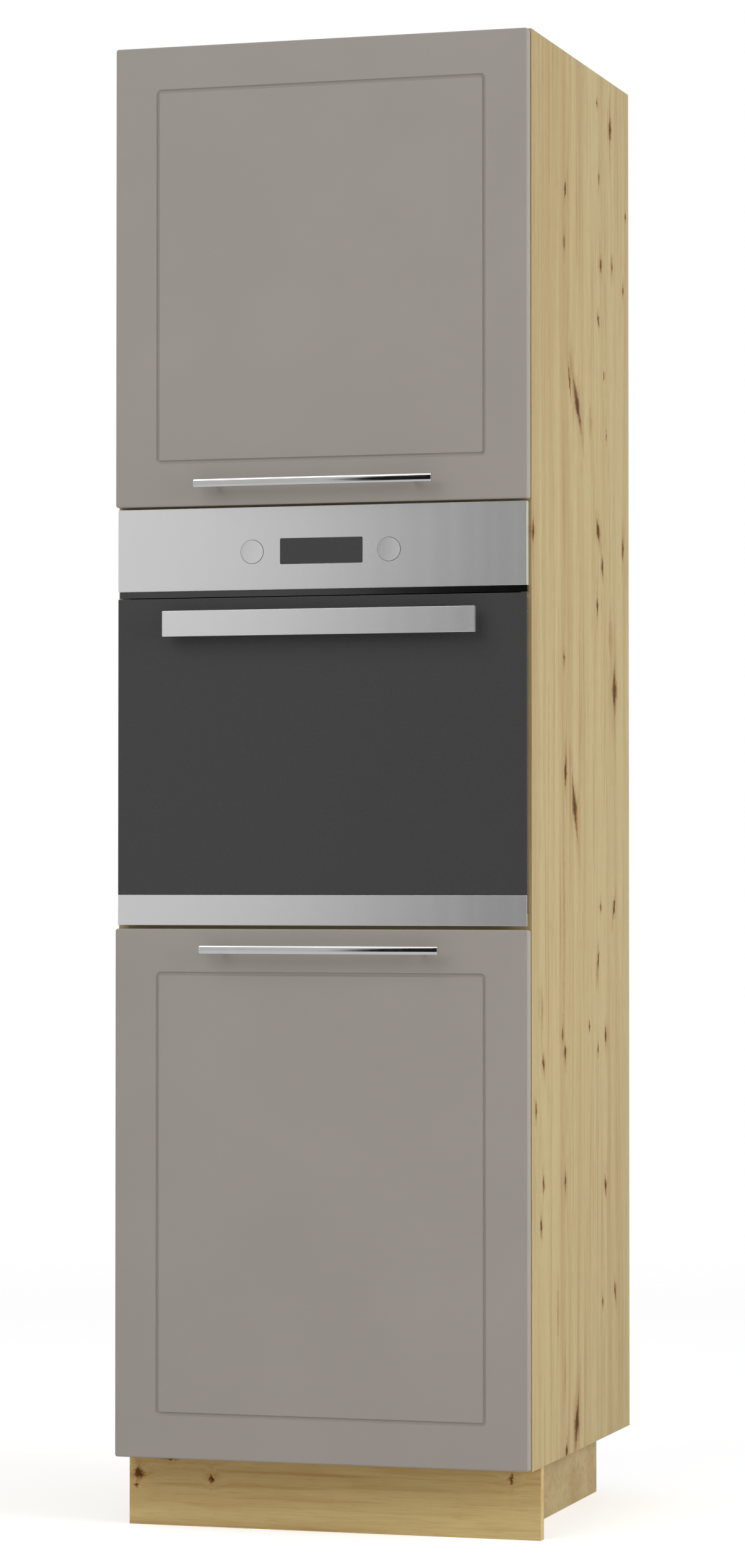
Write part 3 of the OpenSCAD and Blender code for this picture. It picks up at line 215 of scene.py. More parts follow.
# Knots of the right side panel in metres: across, up, half width, half length, and the
# lean of their long axis in degrees
SIDE_KNOTS = (
    (0.110, 2.035, 0.0035, 0.007, 0),
    (0.189, 2.008, 0.0080, 0.022, 0),
    (0.121, 1.926, 0.0035, 0.008, 0),
    (0.285, 1.893, 0.0040, 0.008, 0),
    (-0.075, 1.883, 0.0060, 0.012, -20),
    (-0.082, 1.808, 0.0045, 0.012, 0),
    (0.132, 1.802, 0.0065, 0.012, 10),
    (0.200, 1.808, 0.0045, 0.010, 0),
    (0.269, 1.780, 0.0040, 0.010, 0),
    (0.117, 1.720, 0.0055, 0.012, 25),
    (-0.052, 1.618, 0.0040, 0.024, 20),
    (-0.008, 1.586, 0.0120, 0.044, 34),
    (0.150, 1.643, 0.0030, 0.007, 0),
    (0.166, 1.556, 0.0030, 0.007, 0),
    (-0.254, 1.387, 0.0065, 0.018, 0),
    (0.115, 1.413, 0.0085, 0.018, 30),
    (0.141, 1.363, 0.0055, 0.016, 6),
    (0.267, 1.398, 0.0060, 0.016, 0),
    (0.111, 1.305, 0.0050, 0.016, 0),
    (0.213, 1.186, 0.0140, 0.034, 0),
    (-0.084, 1.220, 0.0035, 0.012, 0),
    (-0.076, 1.060, 0.0080, 0.024, -6),
    (-0.024, 1.012, 0.0125, 0.042, 20),
    (0.128, 0.868, 0.0040, 0.009, 0),
    (0.209, 0.867, 0.0060, 0.016, -25),
    (0.113, 0.791, 0.0050, 0.018, -20),
    (-0.200, 0.655, 0.0065, 0.014, 15),
    (-0.093, 0.693, 0.0045, 0.012, 0),
    (-0.079, 0.665, 0.0065, 0.014, 10),
    (0.061, 0.699, 0.0035, 0.009, 0),
    (0.157, 0.682, 0.0055, 0.013, 0),
    (0.112, 0.663, 0.0040, 0.011, 0),
    (-0.240, 0.591, 0.0050, 0.012, 0),
    (-0.079, 0.484, 0.0055, 0.014, 0),
    (0.156, 0.465, 0.0055, 0.014, 10),
    (-0.200, 0.489, 0.0045, 0.012, 0),
    (-0.213, 0.431, 0.0050, 0.014, 0),
    (0.214, 0.306, 0.0050, 0.015, 20),
    (0.138, 0.297, 0.0040, 0.011, 0),
    (-0.014, 0.140, 0.0125, 0.040, -14),
    (-0.073, 0.106, 0.0065, 0.012, -20),
)

# Brown veins of the right side panel, given in the same way
SIDE_VEINS = (
    (-0.087, 0.850, 0.0070, 0.240, 0),
    (-0.212, 0.730, 0.0130, 0.060, 0),
    (0.190, 1.262, 0.0150, 0.060, 0),
    (0.065, 1.565, 0.0170, 0.038, 0),
    (-0.045, 1.650, 0.0170, 0.060, 0),
    (-0.082, 0.210, 0.0080, 0.070, 0),
    (-0.120, 0.300, 0.0080, 0.080, 0),
    (0.189, 2.010, 0.0090, 0.060, 0),
    (-0.078, 1.085, 0.0110, 0.040, 0),
    (0.113, 0.780, 0.0120, 0.050, 0),
)

# Knots of the plinth's front board: across, up, half length, half height, and lean
PLINTH_KNOTS = (
    (-0.286, 0.071, 0.0095, 0.0095, 0),
    (-0.178, 0.067, 0.0048, 0.0060, 0),
    (-0.238, 0.094, 0.0110, 0.0035, 0),
    (-0.290, 0.055, 0.0045, 0.0030, 0),
    (0.258, 0.083, 0.0050, 0.0060, 0),
)

# The plinth's front board gets a lighter, warmer tint than the sides: painted light that offsets the
# shade under the doors' overhang
PLINTH_PAINTED_LIGHT = (1.33, 1.26, 1.09, 1.0)
BLOTCH_SHIFT = Vector((4, 4, 4))

# How long the print's patterns are along the fibres: their frequency there is this share
STRETCH = 0.026
ALONG = {"z": Vector((1, 1, STRETCH)), "x": Vector((STRETCH, 1, 1))}

# Frequency of each pattern of the print across the fibres, per metre
FINE = {"drift": 7, "broad": 15, "bands": 44, "blotch": 60, "streaks": 120, "fibres": 620,
        "pores": 1300}

# A spot's half size across the board's thickness, and the value far from every spot
ENDLESS = 1e6
NO_SPOT = 9.0

# How finely and how far, in metres, the rim of a spot is jagged
JAGGED_FINE = 150.0
JAGGED = (0.010, 0.010, 0.020)

# How far the grain wanders sideways, and how far a knot pushes it, in metres
WANDER = 0.030
KNOT_PUSH = 0.020


def spot_field(g, spots, flat):
    """How near a point is to the nearest spot: 1 at a spot's rim, 0 in its middle.

    flat is the axis across the board's face, which the spots don't depend on.
    """
    wobble = g.add("ShaderNodeTexNoise", Vector=g.place(), Scale=JAGGED_FINE, Detail=4.0)
    wobble = wobble.outputs[1]
    wobble = g.vector_calc("SUBTRACT", wobble, (0.5, 0.5, 0.5))
    wobble = g.vector_calc("MULTIPLY", wobble, JAGGED)
    jagged = g.vector_calc("ADD", g.place(), wobble)
    near = NO_SPOT
    for across, up, half_wide, half_high, lean in spots:
        turn = math.radians(lean)
        if flat == "x":
            half = (ENDLESS, half_wide, half_high)
            local = g.stamp(jagged, (0, across, up), (turn, 0, 0), half)
        else:
            half = (half_wide, ENDLESS, half_high)
            local = g.stamp(jagged, (across, 0, up), (0, turn, 0), half)
        reach = g.vector_calc("DOT_PRODUCT", g.vector_calc("ABSOLUTE", local), (1, 1, 1), output=1)
        near = g.calc("MINIMUM", near, reach)
    return near


def oak(name, grain, knots=(), veins=(), flat="x", shift=(0, 0, 0), lift=None):
    """Board with an oak print. grain is the direction of its fibres, lift a tint of painted light
    over it.
    """
    g = Graph(name, Roughness=0.55, Specular_IOR_Level=0.06)
    raw = g.place(shift=shift)
    line = ALONG[grain]
    wave = g.noise(g.place(line * FINE["drift"], shift), 1.0, detail=2.0)
    drift = g.calc("MULTIPLY_ADD", wave, WANDER, -WANDER / 2)
    if knots:
        near = spot_field(g, knots, flat)
        pull = g.calc("DIVIDE", KNOT_PUSH, g.calc("ADD", 1.0, g.calc("POWER", near, 1.3)))
        drift = g.calc("ADD", drift, pull)
    bend = g.add("ShaderNodeCombineXYZ")
    for socket in bend.inputs:
        g.join(drift, socket)
    flow = g.vector_calc("ADD", raw, bend.outputs[0])
    broad = g.noise(g.place(line * FINE["broad"], source=flow), 1.0, detail=2.0)
    bands = g.noise(g.place(line * FINE["bands"], source=flow), 1.0, detail=2.0)
    streaks = g.noise(g.place(line * FINE["streaks"], source=flow), 1.0, detail=3.0, rough=0.6)
    fibres = g.noise(g.place(line * FINE["fibres"], source=flow), 1.0, detail=3.0, rough=0.65)
    pores = g.noise(g.place(line * FINE["pores"], source=raw), 1.0, detail=1.0)
    colour = OAK_LIGHT
    for pattern, start, full, most, tone in (
            (broad, 0.36, 0.64, 0.80, OAK_WARM), (bands, 0.48, 0.70, 0.60, OAK_WARM),
            (streaks, 0.50, 0.78, 0.55, OAK_STREAK), (streaks, 0.46, 0.24, 0.45, OAK_LIGHT),
            (fibres, 0.45, 0.75, 0.30, OAK_STREAK), (pores, 0.63, 0.74, 0.22, OAK_KNOT)):
        colour = g.layer(pattern, start, full, most, colour, tone)
    if veins:
        vein = g.spread(spot_field(g, veins, flat), 1.3, 0.2)
        vein = g.calc("MULTIPLY", vein, g.spread(streaks, 0.34, 0.60, 0.15, 0.85))
        colour = g.mix(vein, colour, OAK_STREAK)
    if knots:
        middle = g.calc("SUBTRACT", near, 0.27)
        core = g.calc("MULTIPLY_ADD", g.spread(fibres, 0.3, 0.7), 0.55, middle)
        smear = g.calc("MULTIPLY", g.spread(near, 3.6, 1.0), 0.42)
        smear = g.calc("MULTIPLY", smear, g.spread(streaks, 0.30, 0.62))
        colour = g.mix(smear, colour, OAK_STREAK)
        colour = g.layer(core, 1.5, 0.75, 0.80, colour, OAK_HALO)
        colour = g.layer(core, 1.1, 0.35, 0.90, colour, OAK_KNOT)
    if lift:
        patches = g.place(line * FINE["blotch"] + BLOTCH_SHIFT, source=flow)
        blotch = g.noise(patches, 1.0, detail=4.0)
        colour = g.layer(blotch, 0.42, 0.68, 0.25, colour, OAK_STREAK)
        # painted light: the lift tint multiplies the board's colour brighter, against the shade it
        # stands in
        colour = g.mix(1.0, colour, lift, "MULTIPLY")
    g.colour(colour)
    g.rough(g.spread(fibres, 0.3, 0.7, 0.50, 0.60))
    g.bump(g.spread(pores, 0.62, 0.74, 1.0, 0.0), 0.00004)
    return g.material


# ---------------------------------------------------------------- other finishes


def foil(name, colour, shade):
    """Matt foil pressed on a fibreboard front, with a fine print."""
    g = Graph(name, Roughness=0.50, Specular_IOR_Level=0.42)
    cloud = g.noise(g.place(), 5.0, detail=2.0)
    grain = g.noise(g.place(), 2600.0, detail=2.0)
    g.colour(g.mix(g.spread(cloud, 0.25, 0.75), colour, shade))
    g.rough(g.spread(grain, 0.2, 0.8, 0.46, 0.56))
    g.bump(grain, 0.00002)
    return g.material


def brushed(name, tone, swing=3, rough=0.32, line=(900, 900, 2.2), metal=1.0):
    """Brushed steel whose fine lines run along the axis with the low frequency."""
    g = Graph(name, Metallic=metal, Roughness=rough)
    fine = g.noise(g.place(line), 1.0, detail=3.0, rough=0.6)
    wide = g.noise(g.place([part / 12 for part in line]), 1.0, detail=2.0)
    mixed = g.calc("ADD", g.calc("MULTIPLY", fine, 0.55), g.calc("MULTIPLY", wide, 0.45))
    g.colour(g.mix(g.spread(mixed, 0.3, 0.7), grey(tone - swing), grey(tone + swing)))
    g.rough(g.spread(wide, 0.25, 0.75, rough - 0.01, rough + 0.01))
    return g.material


def chrome(name):
    """Polished chrome plate with a trace of polishing haze."""
    g = Graph(name, Metallic=1.0, Roughness=0.05)
    haze = g.noise(g.place(), 60.0, detail=4.0)
    g.colour(g.mix(haze, grey(224), grey(232)))
    g.rough(g.spread(haze, 0.3, 0.8, 0.035, 0.10))
    return g.material


def dark_glass(name):
    """Back-printed glass, nearly black, with a faint depth in its tint."""
    g = Graph(name, Roughness=0.28, Specular_IOR_Level=0.22)
    depth = g.noise(g.place(), 900.0, detail=2.0)
    g.colour(g.mix(g.spread(depth, 0.3, 0.7), grey(65), grey(68)))
    g.rough(g.spread(depth, 0.2, 0.8, 0.27, 0.29))
    return g.material


def plastic(name, value, rough=0.5):
    """Moulded plastic with a fine eroded grain."""
    g = Graph(name, Roughness=rough)
    grain = g.noise(g.place(), 1500.0, detail=2.0)
    g.colour(g.mix(grain, grey(value - 4), grey(value + 6)))
    g.rough(g.spread(grain, 0.3, 0.7, rough - 0.06, rough + 0.08))
    g.bump(grain, 0.00004)
    return g.material


def enamel(name, value):
    """Glossy vitreous enamel with tiny pale specks and a slight orange peel."""
    g = Graph(name, Roughness=0.22, Coat_Weight=0.6, Coat_Roughness=0.08)
    specks = g.cells(g.place(), 420.0)
    peel = g.noise(g.place(), 260.0, detail=2.0)
    g.colour(g.mix(g.spread(specks, 0.16, 0.08), grey(value), grey(value + 70)))
    g.rough(g.spread(peel, 0.3, 0.7, 0.18, 0.28))
    g.bump(peel, 0.00004)
    return g.material


def galvanised(name):
    """Zinc-coated sheet with its crystal flowers."""
    g = Graph(name, Metallic=1.0, Roughness=0.42)
    flowers = g.cells(g.place(), 110.0, "Color")
    tone = g.calc("MULTIPLY", g.vector_calc("LENGTH", flowers, output=1), 0.58)
    g.colour(g.mix(tone, grey(158), grey(202)))
    g.rough(g.spread(tone, 0.1, 0.9, 0.34, 0.52))
    return g.material


def wool(name):
    """Yellowish glass wool with tangled fibres."""
    g = Graph(name, Roughness=0.95, Sheen_Weight=0.3)
    tangle = g.noise(g.place(), 340.0, detail=6.0, rough=0.75, twist=1.6)
    clumps = g.noise(g.place(), 26.0, detail=3.0)
    base = g.mix(g.spread(clumps, 0.3, 0.7), srgb(214, 196, 130), srgb(232, 220, 170))
    g.colour(g.mix(g.spread(tangle, 0.35, 0.65), base, srgb(176, 156, 96)))
    g.bump(tangle, 0.0015)
    return g.material


def hardboard(name):
    """White lacquered back sheet with a faint screen pattern."""
    g = Graph(name, Roughness=0.45)
    roller = g.noise(g.place((90, 90, 4)), 1.0, detail=3.0)
    g.colour(g.mix(g.spread(roller, 0.3, 0.7), grey(226), grey(234)))
    g.bump(roller, 0.00005)
    return g.material


def circuit(name):
    """Circuit board green with its tracks."""
    g = Graph(name, Roughness=0.35)
    tracks = g.add("ShaderNodeTexBrick", Vector=g.place((1, 0, 1)), Scale=90.0, Mortar_Size=0.05)
    g.colour(g.mix(tracks.outputs[1], srgb(26, 96, 52), srgb(120, 160, 90)))
    return g.material


def lamp_glass(name):
    """Pressed glass of the oven lamp."""
    g = Graph(name, Roughness=0.12, Transmission_Weight=0.55, IOR=1.45)
    ribs = g.noise(g.place(), 380.0, detail=1.0)
    g.colour(g.mix(ribs, grey(236), grey(248)))
    g.bump(ribs, 0.0003)
    return g.material


def heat_steel(name):
    """Steel darkened and tinted by heat."""
    g = Graph(name, Metallic=1.0, Roughness=0.45)
    tint = g.noise(g.place(), 34.0, detail=3.0)
    g.colour(g.mix(g.spread(tint, 0.3, 0.7), srgb(88, 80, 76), srgb(132, 122, 112)))
    g.rough(g.spread(tint, 0.3, 0.7, 0.38, 0.56))
    return g.material


# Finishes by name
MATERIALS = {
    "oak_side": oak("oak_side", "z", SIDE_KNOTS, SIDE_VEINS),
    "oak_board": oak("oak_board", "x", shift=(0.3, 0.7, 0.2)),
    "oak_plinth": oak("oak_plinth", "x", PLINTH_KNOTS, flat="y", shift=(0.1, 0.4, 0.5),
                      lift=PLINTH_PAINTED_LIGHT),
    "clay_front": foil("clay_front", srgb(157, 150, 143), srgb(154, 147, 140)),
    "chrome": chrome("chrome"),
    "nickel_steel": brushed("nickel_steel", 198, 8, rough=0.24, line=(300, 300, 300)),
    "zinc": brushed("zinc", 190, 12, rough=0.34, line=(500, 500, 500)),
    "stainless": brushed("stainless", 246, 0.7, metal=0.84, rough=0.26),
    "bar_steel": brushed("bar_steel", 250, 0.7, metal=0.84, rough=0.25),
    "black_plastic": plastic("black_plastic", 26),
    "vent_black": brushed("vent_black", 92, 2, rough=0.14, line=(400, 400, 400)),
    "galvanised": galvanised("galvanised"),
    "enamel": enamel("enamel", 58),
    "glass_wool": wool("glass_wool"),
    "seal": plastic("seal", 34, rough=0.75),
    "heater_steel": heat_steel("heater_steel"),
    "lamp_glass": lamp_glass("lamp_glass"),
    "display": dark_glass("display"),
    "circuit": circuit("circuit"),
    "dark_glass": dark_glass("dark_glass"),
    "white_sheet": hardboard("white_sheet"),
}

# ---------------------------------------------------------------- meshes

# Points nearer than WELD metres are one, and faces that turn less than FLAT are one face
WELD = 2e-6
FLAT = math.radians(0.3)

# Edges that turn by more than EDGE and are longer than LONG_EDGE are rounded
EDGE = math.radians(50)
LONG_EDGE = 12 * MM
ROUND_SEGMENTS = 2

# Shading breaks at edges that turn by more than CREASE
CREASE = math.radians(32)

LEAST_RADIUS = 0.05 * MM
MANY_SIDES = 48
BACKWARD = (0, 1, 0)


def level_faces(piece):
    """Keeps large flat faces evenly lit next to their small roundings."""
    level = piece.modifiers.new("level_faces", "WEIGHTED_NORMAL")
    level.keep_sharp = True


def add_piece(name, bm, material, body, replaces=(), angle=CREASE):
    """Turns bm into a piece of that material that rides on a body."""
    bmesh.ops.recalc_face_normals(bm, faces=bm.faces)
    mesh = bpy.data.meshes.new(name)
    bm.to_mesh(mesh)
    bm.free()
    mesh.shade_smooth()
    mesh.set_sharp_from_angle(angle=angle)
    mesh.materials.append(MATERIALS[material])
    piece = bpy.data.objects.new(name, mesh)
    scene.collection.objects.link(piece)
    level_faces(piece)
    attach(piece, body)
    if replaces:
        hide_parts(*replaces)
    return piece


def body_of_node(node):
    """The body that a node of the frame moves with."""
    return nodes[node]["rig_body"]


def clean_copy(node):
    """A bmesh of a node without its double points and its lines across flat faces."""
    bm = bmesh.new()
    bm.from_mesh(nodes[node].data)
    bmesh.ops.remove_doubles(bm, verts=bm.verts, dist=WELD)
    bmesh.ops.dissolve_limit(bm, angle_limit=FLAT, verts=bm.verts, edges=bm.edges)
    bm.normal_update()
    return bm


def soften(node, width, material):
    """Stands for a node with its long sharp edges rounded, as real edges are."""
    bm = clean_copy(node)
    sharp = [edge for edge in bm.edges
             if edge.is_manifold and edge.calc_face_angle(0) > EDGE
             and edge.calc_length() > LONG_EDGE]
    bmesh.ops.bevel(bm, geom=sharp, offset=width, segments=ROUND_SEGMENTS, profile=0.5,
                    affect="EDGES", clamp_overlap=False)
    loose = [vert for vert in bm.verts if not vert.link_faces]
    bmesh.ops.delete(bm, geom=loose, context="VERTS")
    return add_piece(node + "_rounded", bm, material, body_of_node(node), (node,))


def rounded_loop(half_w, half_h, radius, steps=6):
    """A rounded rectangle round the origin, counter-clockwise, always as many points."""
    radius = max(radius, LEAST_RADIUS)
    points = []
    for quarter, (sx, sz) in enumerate(((1, 1), (-1, 1), (-1, -1), (1, -1))):
        for step in range(steps + 1):
            angle = math.pi / 2 * (quarter + step / steps)
            points.append((sx * (half_w - radius) + radius * math.cos(angle),
                           sz * (half_h - radius) + radius * math.sin(angle)))
    return points


def circle(radius, height, steps):
    """Points round the z axis at that height, counter-clockwise."""
    return [Vector((radius * math.cos(2 * math.pi * i / steps),
                    radius * math.sin(2 * math.pi * i / steps), height)) for i in range(steps)]


def band(bm, low, high):
    """Quads between two rings that have as many points."""
    for i, vert in enumerate(low):
        j = (i + 1) % len(low)
        bm.faces.new((vert, low[j], high[j], high[i]))


def stack_loops(bm, loops, closed=True):
    """Joins loops of equal length by quads and, if closed, fills the two ends."""
    rings = [[bm.verts.new(point) for point in loop] for loop in loops]
    for low, high in zip(rings, rings[1:]):
        band(bm, low, high)
    if closed:
        bm.faces.new(rings[0])
        bm.faces.new(rings[-1])


def lathe(bm, profile, base, axis, steps=40):
    """Turns (radius, height) points round axis, with height measured from base."""
    turn = Vector((0, 0, 1)).rotation_difference(Vector(axis)).to_matrix()
    stack_loops(bm, [[Vector(base) + turn @ point for point in circle(radius, height, steps)]
                     for radius, height in profile])


def solid_boxes(node):
    """(lowest, highest) corner of each separate solid of a node."""
    bm = bmesh.new()
    bm.from_mesh(nodes[node].data)
    bmesh.ops.remove_doubles(bm, verts=bm.verts, dist=WELD)
    boxes = []
    unseen = set(bm.verts)
    while unseen:
        group = [unseen.pop()]
        for vert in group:
            for edge in vert.link_edges:
                other = edge.other_vert(vert)
                if other in unseen:
                    unseen.remove(other)
                    group.append(other)
        places = [vert.co for vert in group]
        boxes.append((Vector([min(p[i] for p in places) for i in range(3)]),
                      Vector([max(p[i] for p in places) for i in range(3)])))
    bm.free()
    return boxes


def cut_out(piece, cutters):
    """Cuts the closed bmesh cutters out of a piece's mesh for good."""
    mesh = bpy.data.meshes.new("cutter")
    cutters.to_mesh(mesh)
    cutters.free()
    cutter = bpy.data.objects.new("cutter", mesh)
    scene.collection.objects.link(cutter)
    modifier = piece.modifiers.new("cut", "BOOLEAN")
    modifier.operation = "DIFFERENCE"
    modifier.solver = "EXACT"
    modifier.object = cutter
    bpy.context.view_layer.update()
    result = piece.evaluated_get(bpy.context.evaluated_depsgraph_get())
    cut_mesh = bpy.data.meshes.new_from_object(result)
    piece.modifiers.clear()
    piece.data = cut_mesh
    bpy.data.objects.remove(cutter)
    piece.data.set_sharp_from_angle(angle=CREASE)
    level_faces(piece)


# ---------------------------------------------------------------- doors

# Roundings of the front edge, the back edge and the corners, and the hinge cups' holes
DOOR_ROUND = 2.4 * MM
DOOR_BACK_ROUND = 2.0 * MM
DOOR_CORNER = 3.6 * MM
CUP_RADIUS = 17.5 * MM

# The groove: its middle from the door's edge, its depth and the round cutter that ran it
GROOVE_INSET = 62.4 * MM
GROOVE_DEEP = 2.4 * MM
GROOVE_CUTTER = 2.5 * MM
GROOVE_HALF = math.sqrt(GROOVE_CUTTER ** 2 - (GROOVE_CUTTER - GROOVE_DEEP) ** 2)

# The rounded lips of the groove, the share of its arc between them, and its corners
GROOVE_SOFT = 0.3 * MM
GROOVE_LIP = 0.06 * MM
GROOVE_SHARE = 0.94
GROOVE_CORNER = 4.5 * MM
GROOVE_STEPS = 12
ROUND_STEPS = 5


def door_profile():
    """(inset from the outline, depth behind the front) from the edge to the middle."""
    points = []
    for step in range(ROUND_STEPS + 1):
        angle = math.pi / 2 * step / ROUND_STEPS
        points.append((DOOR_ROUND * (1 - math.cos(angle)), DOOR_ROUND * (1 - math.sin(angle))))
    shoulder = ((-GROOVE_HALF - GROOVE_SOFT, 0), (-GROOVE_HALF - GROOVE_SOFT / 3, GROOVE_LIP))
    groove = []
    for step in range(GROOVE_STEPS + 1):
        side = (2 * step / GROOVE_STEPS - 1) * GROOVE_HALF * GROOVE_SHARE
        arc = math.sqrt(GROOVE_CUTTER ** 2 - side ** 2)
        groove.append((side, GROOVE_DEEP - GROOVE_CUTTER + arc))
    mirrored = [(-side, deep) for side, deep in reversed(shoulder)]
    points += [(GROOVE_INSET + side, deep) for side, deep in (*shoulder, *groove, *mirrored)]
    return points


def make_door(name):
    """A door with rounded edges, its routed frame line and the holes of its hinge cups."""
    low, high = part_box(name)
    centre = (low + high) / 2
    half_w = (high.x - low.x) / 2
    half_h = (high.z - low.z) / 2
    front = low.y
    back = high.y

    def loop(inset, y, corner):
        return [(centre.x + x, y, centre.z + z)
                for x, z in rounded_loop(half_w - inset, half_h - inset, corner)]

    loops = []
    for step in range(ROUND_STEPS + 1):
        angle = math.pi / 2 * (1 - step / ROUND_STEPS)
        inset = DOOR_BACK_ROUND * (1 - math.cos(angle))
        loops.append(loop(inset, back - DOOR_BACK_ROUND * (1 - math.sin(angle)),
                          DOOR_CORNER - inset))
    for inset, deep in door_profile():
        corner = DOOR_CORNER - inset
        if inset > GROOVE_INSET / 2:
            corner = GROOVE_CORNER - (inset - GROOVE_INSET)
        loops.append(loop(inset, front + deep, corner))
    bm = bmesh.new()
    stack_loops(bm, loops)
    door = add_piece(name + "_front", bm, "clay_front", name, (name,))
    cutters = bmesh.new()
    for cup_low, cup_high in solid_boxes(name.replace("_door", "_hinge_cups")):
        middle = (cup_low + cup_high) / 2
        hole = ((CUP_RADIUS, 0), (CUP_RADIUS, cup_high.y - cup_low.y))
        lathe(cutters, hole, (middle.x, cup_low.y, middle.z), BACKWARD, MANY_SIDES)
    cut_out(door, cutters)


# ---------------------------------------------------------------- handles

# The bar's section, how far its ends lie behind its middle, and the height of its crown
BAR_HEIGHT = 11.6 * MM
BAR_THICK = 7.0 * MM
BAR_BOW = 2.5 * MM
BAR_CROWN = 2.0 * MM
CROWN_STEPS = 14
CROWN_SHARE = 0.93
BAR_STATIONS = 56
BAR_CREASE = math.radians(40)

# Rounding of the bar's back edges, and how its two ends narrow
BAR_SOFT = 0.6 * MM
BAR_TIP = 0.7 * MM
TIP_THIN = 0.86
TIP_LOW = 0.90

# The posts: what each is wider than its radius, at a place from its start or its foot
POST_PITCH = 288 * MM
POST_RADIUS = 4.5 * MM
POST_START = ((-0.3 * MM, 0.0), (0.0, 0.4 * MM))
POST_FOOT = ((0.0, 3 * MM), (0.4 * MM, 1.4 * MM), (0.9 * MM, 0.9 * MM), (0.9 * MM, 0.0))


def bar_section():
    """A crowned front and a flat back with small roundings: (depth, height) points."""
    half = BAR_HEIGHT / 2
    radius = (half ** 2 + BAR_CROWN ** 2) / (2 * BAR_CROWN)
    points = []
    limit = math.asin(half / radius) * CROWN_SHARE
    for step in range(CROWN_STEPS + 1):
        angle = limit * (1 - 2 * step / CROWN_STEPS)
        points.append((radius - radius * math.cos(angle), radius * math.sin(angle)))
    lower = [(BAR_CROWN + BAR_SOFT, -half), (BAR_THICK - BAR_SOFT, -half),
             (BAR_THICK, -half + BAR_SOFT)]
    upper = [(depth, -height) for depth, height in reversed(lower)]
    return points + lower + upper


def add_posts(bm, centre, pitch, radius, reach, start, foot):
    """Two turned posts behind a bar, pitch apart round centre, and as long as reach."""
    profile = [(radius + wider, place) for wider, place in start]
    profile += [(radius + wider, reach - place) for wider, place in foot]
    x, y, z = centre
    for side in (-1, 1):
        lathe(bm, profile, (x + side * pitch / 2, y, z), BACKWARD)


def make_handle(name, door):
    """A bowed chrome bar with narrowed tips on two posts with a foot each."""
    low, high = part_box(name)
    centre = (low + high) / 2
    half = (high.x - low.x) / 2
    front = low.y
    core = front + BAR_THICK / 2 + BAR_BOW
    loops = []
    for station in range(BAR_STATIONS + 1):
        share = 2 * station / BAR_STATIONS - 1
        x = half * share
        bow = BAR_BOW * share ** 2
        loops.append([(centre.x + x, front + bow + depth, centre.z + up)
                      for depth, up in bar_section()])
    for end, side in ((0, -1), (-1, 1)):
        tip = loops[end]
        inner = [(x - side * BAR_TIP, y, z) for x, y, z in tip]
        cap = [(x, (y - core) * TIP_THIN + core, (z - centre.z) * TIP_LOW + centre.z)
               for x, y, z in tip]
        if end == 0:
            loops[0:1] = [cap, inner]
        else:
            loops[-1:] = [inner, cap]
    bm = bmesh.new()
    stack_loops(bm, loops)
    start = front + BAR_THICK / 2
    add_posts(bm, (centre.x, start, centre.z), POST_PITCH, POST_RADIUS, high.y - start,
              POST_START, POST_FOOT)
    add_piece(name + "_bar", bm, "chrome", door, (name,), angle=BAR_CREASE)


# ---------------------------------------------------------------- oven front

# The flat bar; its edge from the front: distance inwards, depth behind the front
OVEN_BAR_THICK = 6.0 * MM
OVEN_BAR_CORNER = 0.8 * MM
OVEN_BAR_EDGE = ((0.9 * MM, 0.0), (0.25 * MM, 0.3 * MM), (0.0, 0.9 * MM))
OVEN_POST_PITCH = 380 * MM
OVEN_POST_RADIUS = 7.0 * MM
OVEN_POST_START = ((0.0, -1 * MM),)
OVEN_POST_FOOT = ((0.0, 2 * MM), (0.8 * MM, 1.2 * MM), (0.8 * MM, 0.0))


def make_oven_bar():
    """The flat bar of the oven door with fine bevels, on two round posts."""
    low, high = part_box("oven_door_handle")
    centre = (low + high) / 2
    half_w = (high.x - low.x) / 2
    half_h = (high.z - low.z) / 2
    far_edge = [(inset, OVEN_BAR_THICK - depth) for inset, depth in reversed(OVEN_BAR_EDGE)]
    loops = []
    for inset, depth in (*OVEN_BAR_EDGE, *far_edge):
        outline = rounded_loop(half_w - inset, half_h - inset, OVEN_BAR_CORNER, 3)
        loops.append([(centre.x + x, low.y + depth, centre.z + z) for x, z in outline])
    bm = bmesh.new()
    stack_loops(bm, loops)
    start = low.y + OVEN_BAR_THICK
    add_posts(bm, (centre.x, start, centre.z), OVEN_POST_PITCH, OVEN_POST_RADIUS,
              high.y - start, OVEN_POST_START, OVEN_POST_FOOT)
    add_piece("oven_bar", bm, "bar_steel", "oven_door", ("oven_door_handle",))


# The knob's face from its rim inwards: distance from the rim, depth from the front
KNOB_FACE = (
    (0.0, 0.35 * MM), (0.12 * MM, 0.10 * MM), (0.4 * MM, 0.0), (1.1 * MM, 0.0),
    (1.4 * MM, 0.12 * MM),
)
KNOB_CHAMFER = 1 * MM
KNOB_MIDDLE = (0.4 * MM, 0.12 * MM)
KNOB_SIDES = 96


def make_knob(name):
    """A flush turned knob: a fine chamfer, a shallow ring and a dished face."""
    low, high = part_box(name)
    centre = (low + high) / 2
    radius = (high.x - low.x) / 2
    length = high.y - low.y
    face = [(radius - inset, depth) for inset, depth in KNOB_FACE]
    profile = ((radius - KNOB_CHAMFER, length), (radius, length - KNOB_CHAMFER), *face,
               KNOB_MIDDLE)
    bm = bmesh.new()
    lathe(bm, profile, (centre.x, low.y, centre.z), BACKWARD, KNOB_SIDES)
    add_piece(name + "_cap", bm, "stainless", name, (name,))


# The seal: width of its band, radius of its path's corners, sides and the seam's gap
SEAL_BAND = 7 * MM
SEAL_CORNER = 14 * MM
SEAL_SIDES = 14
SEAL_SEAM = 1e-6


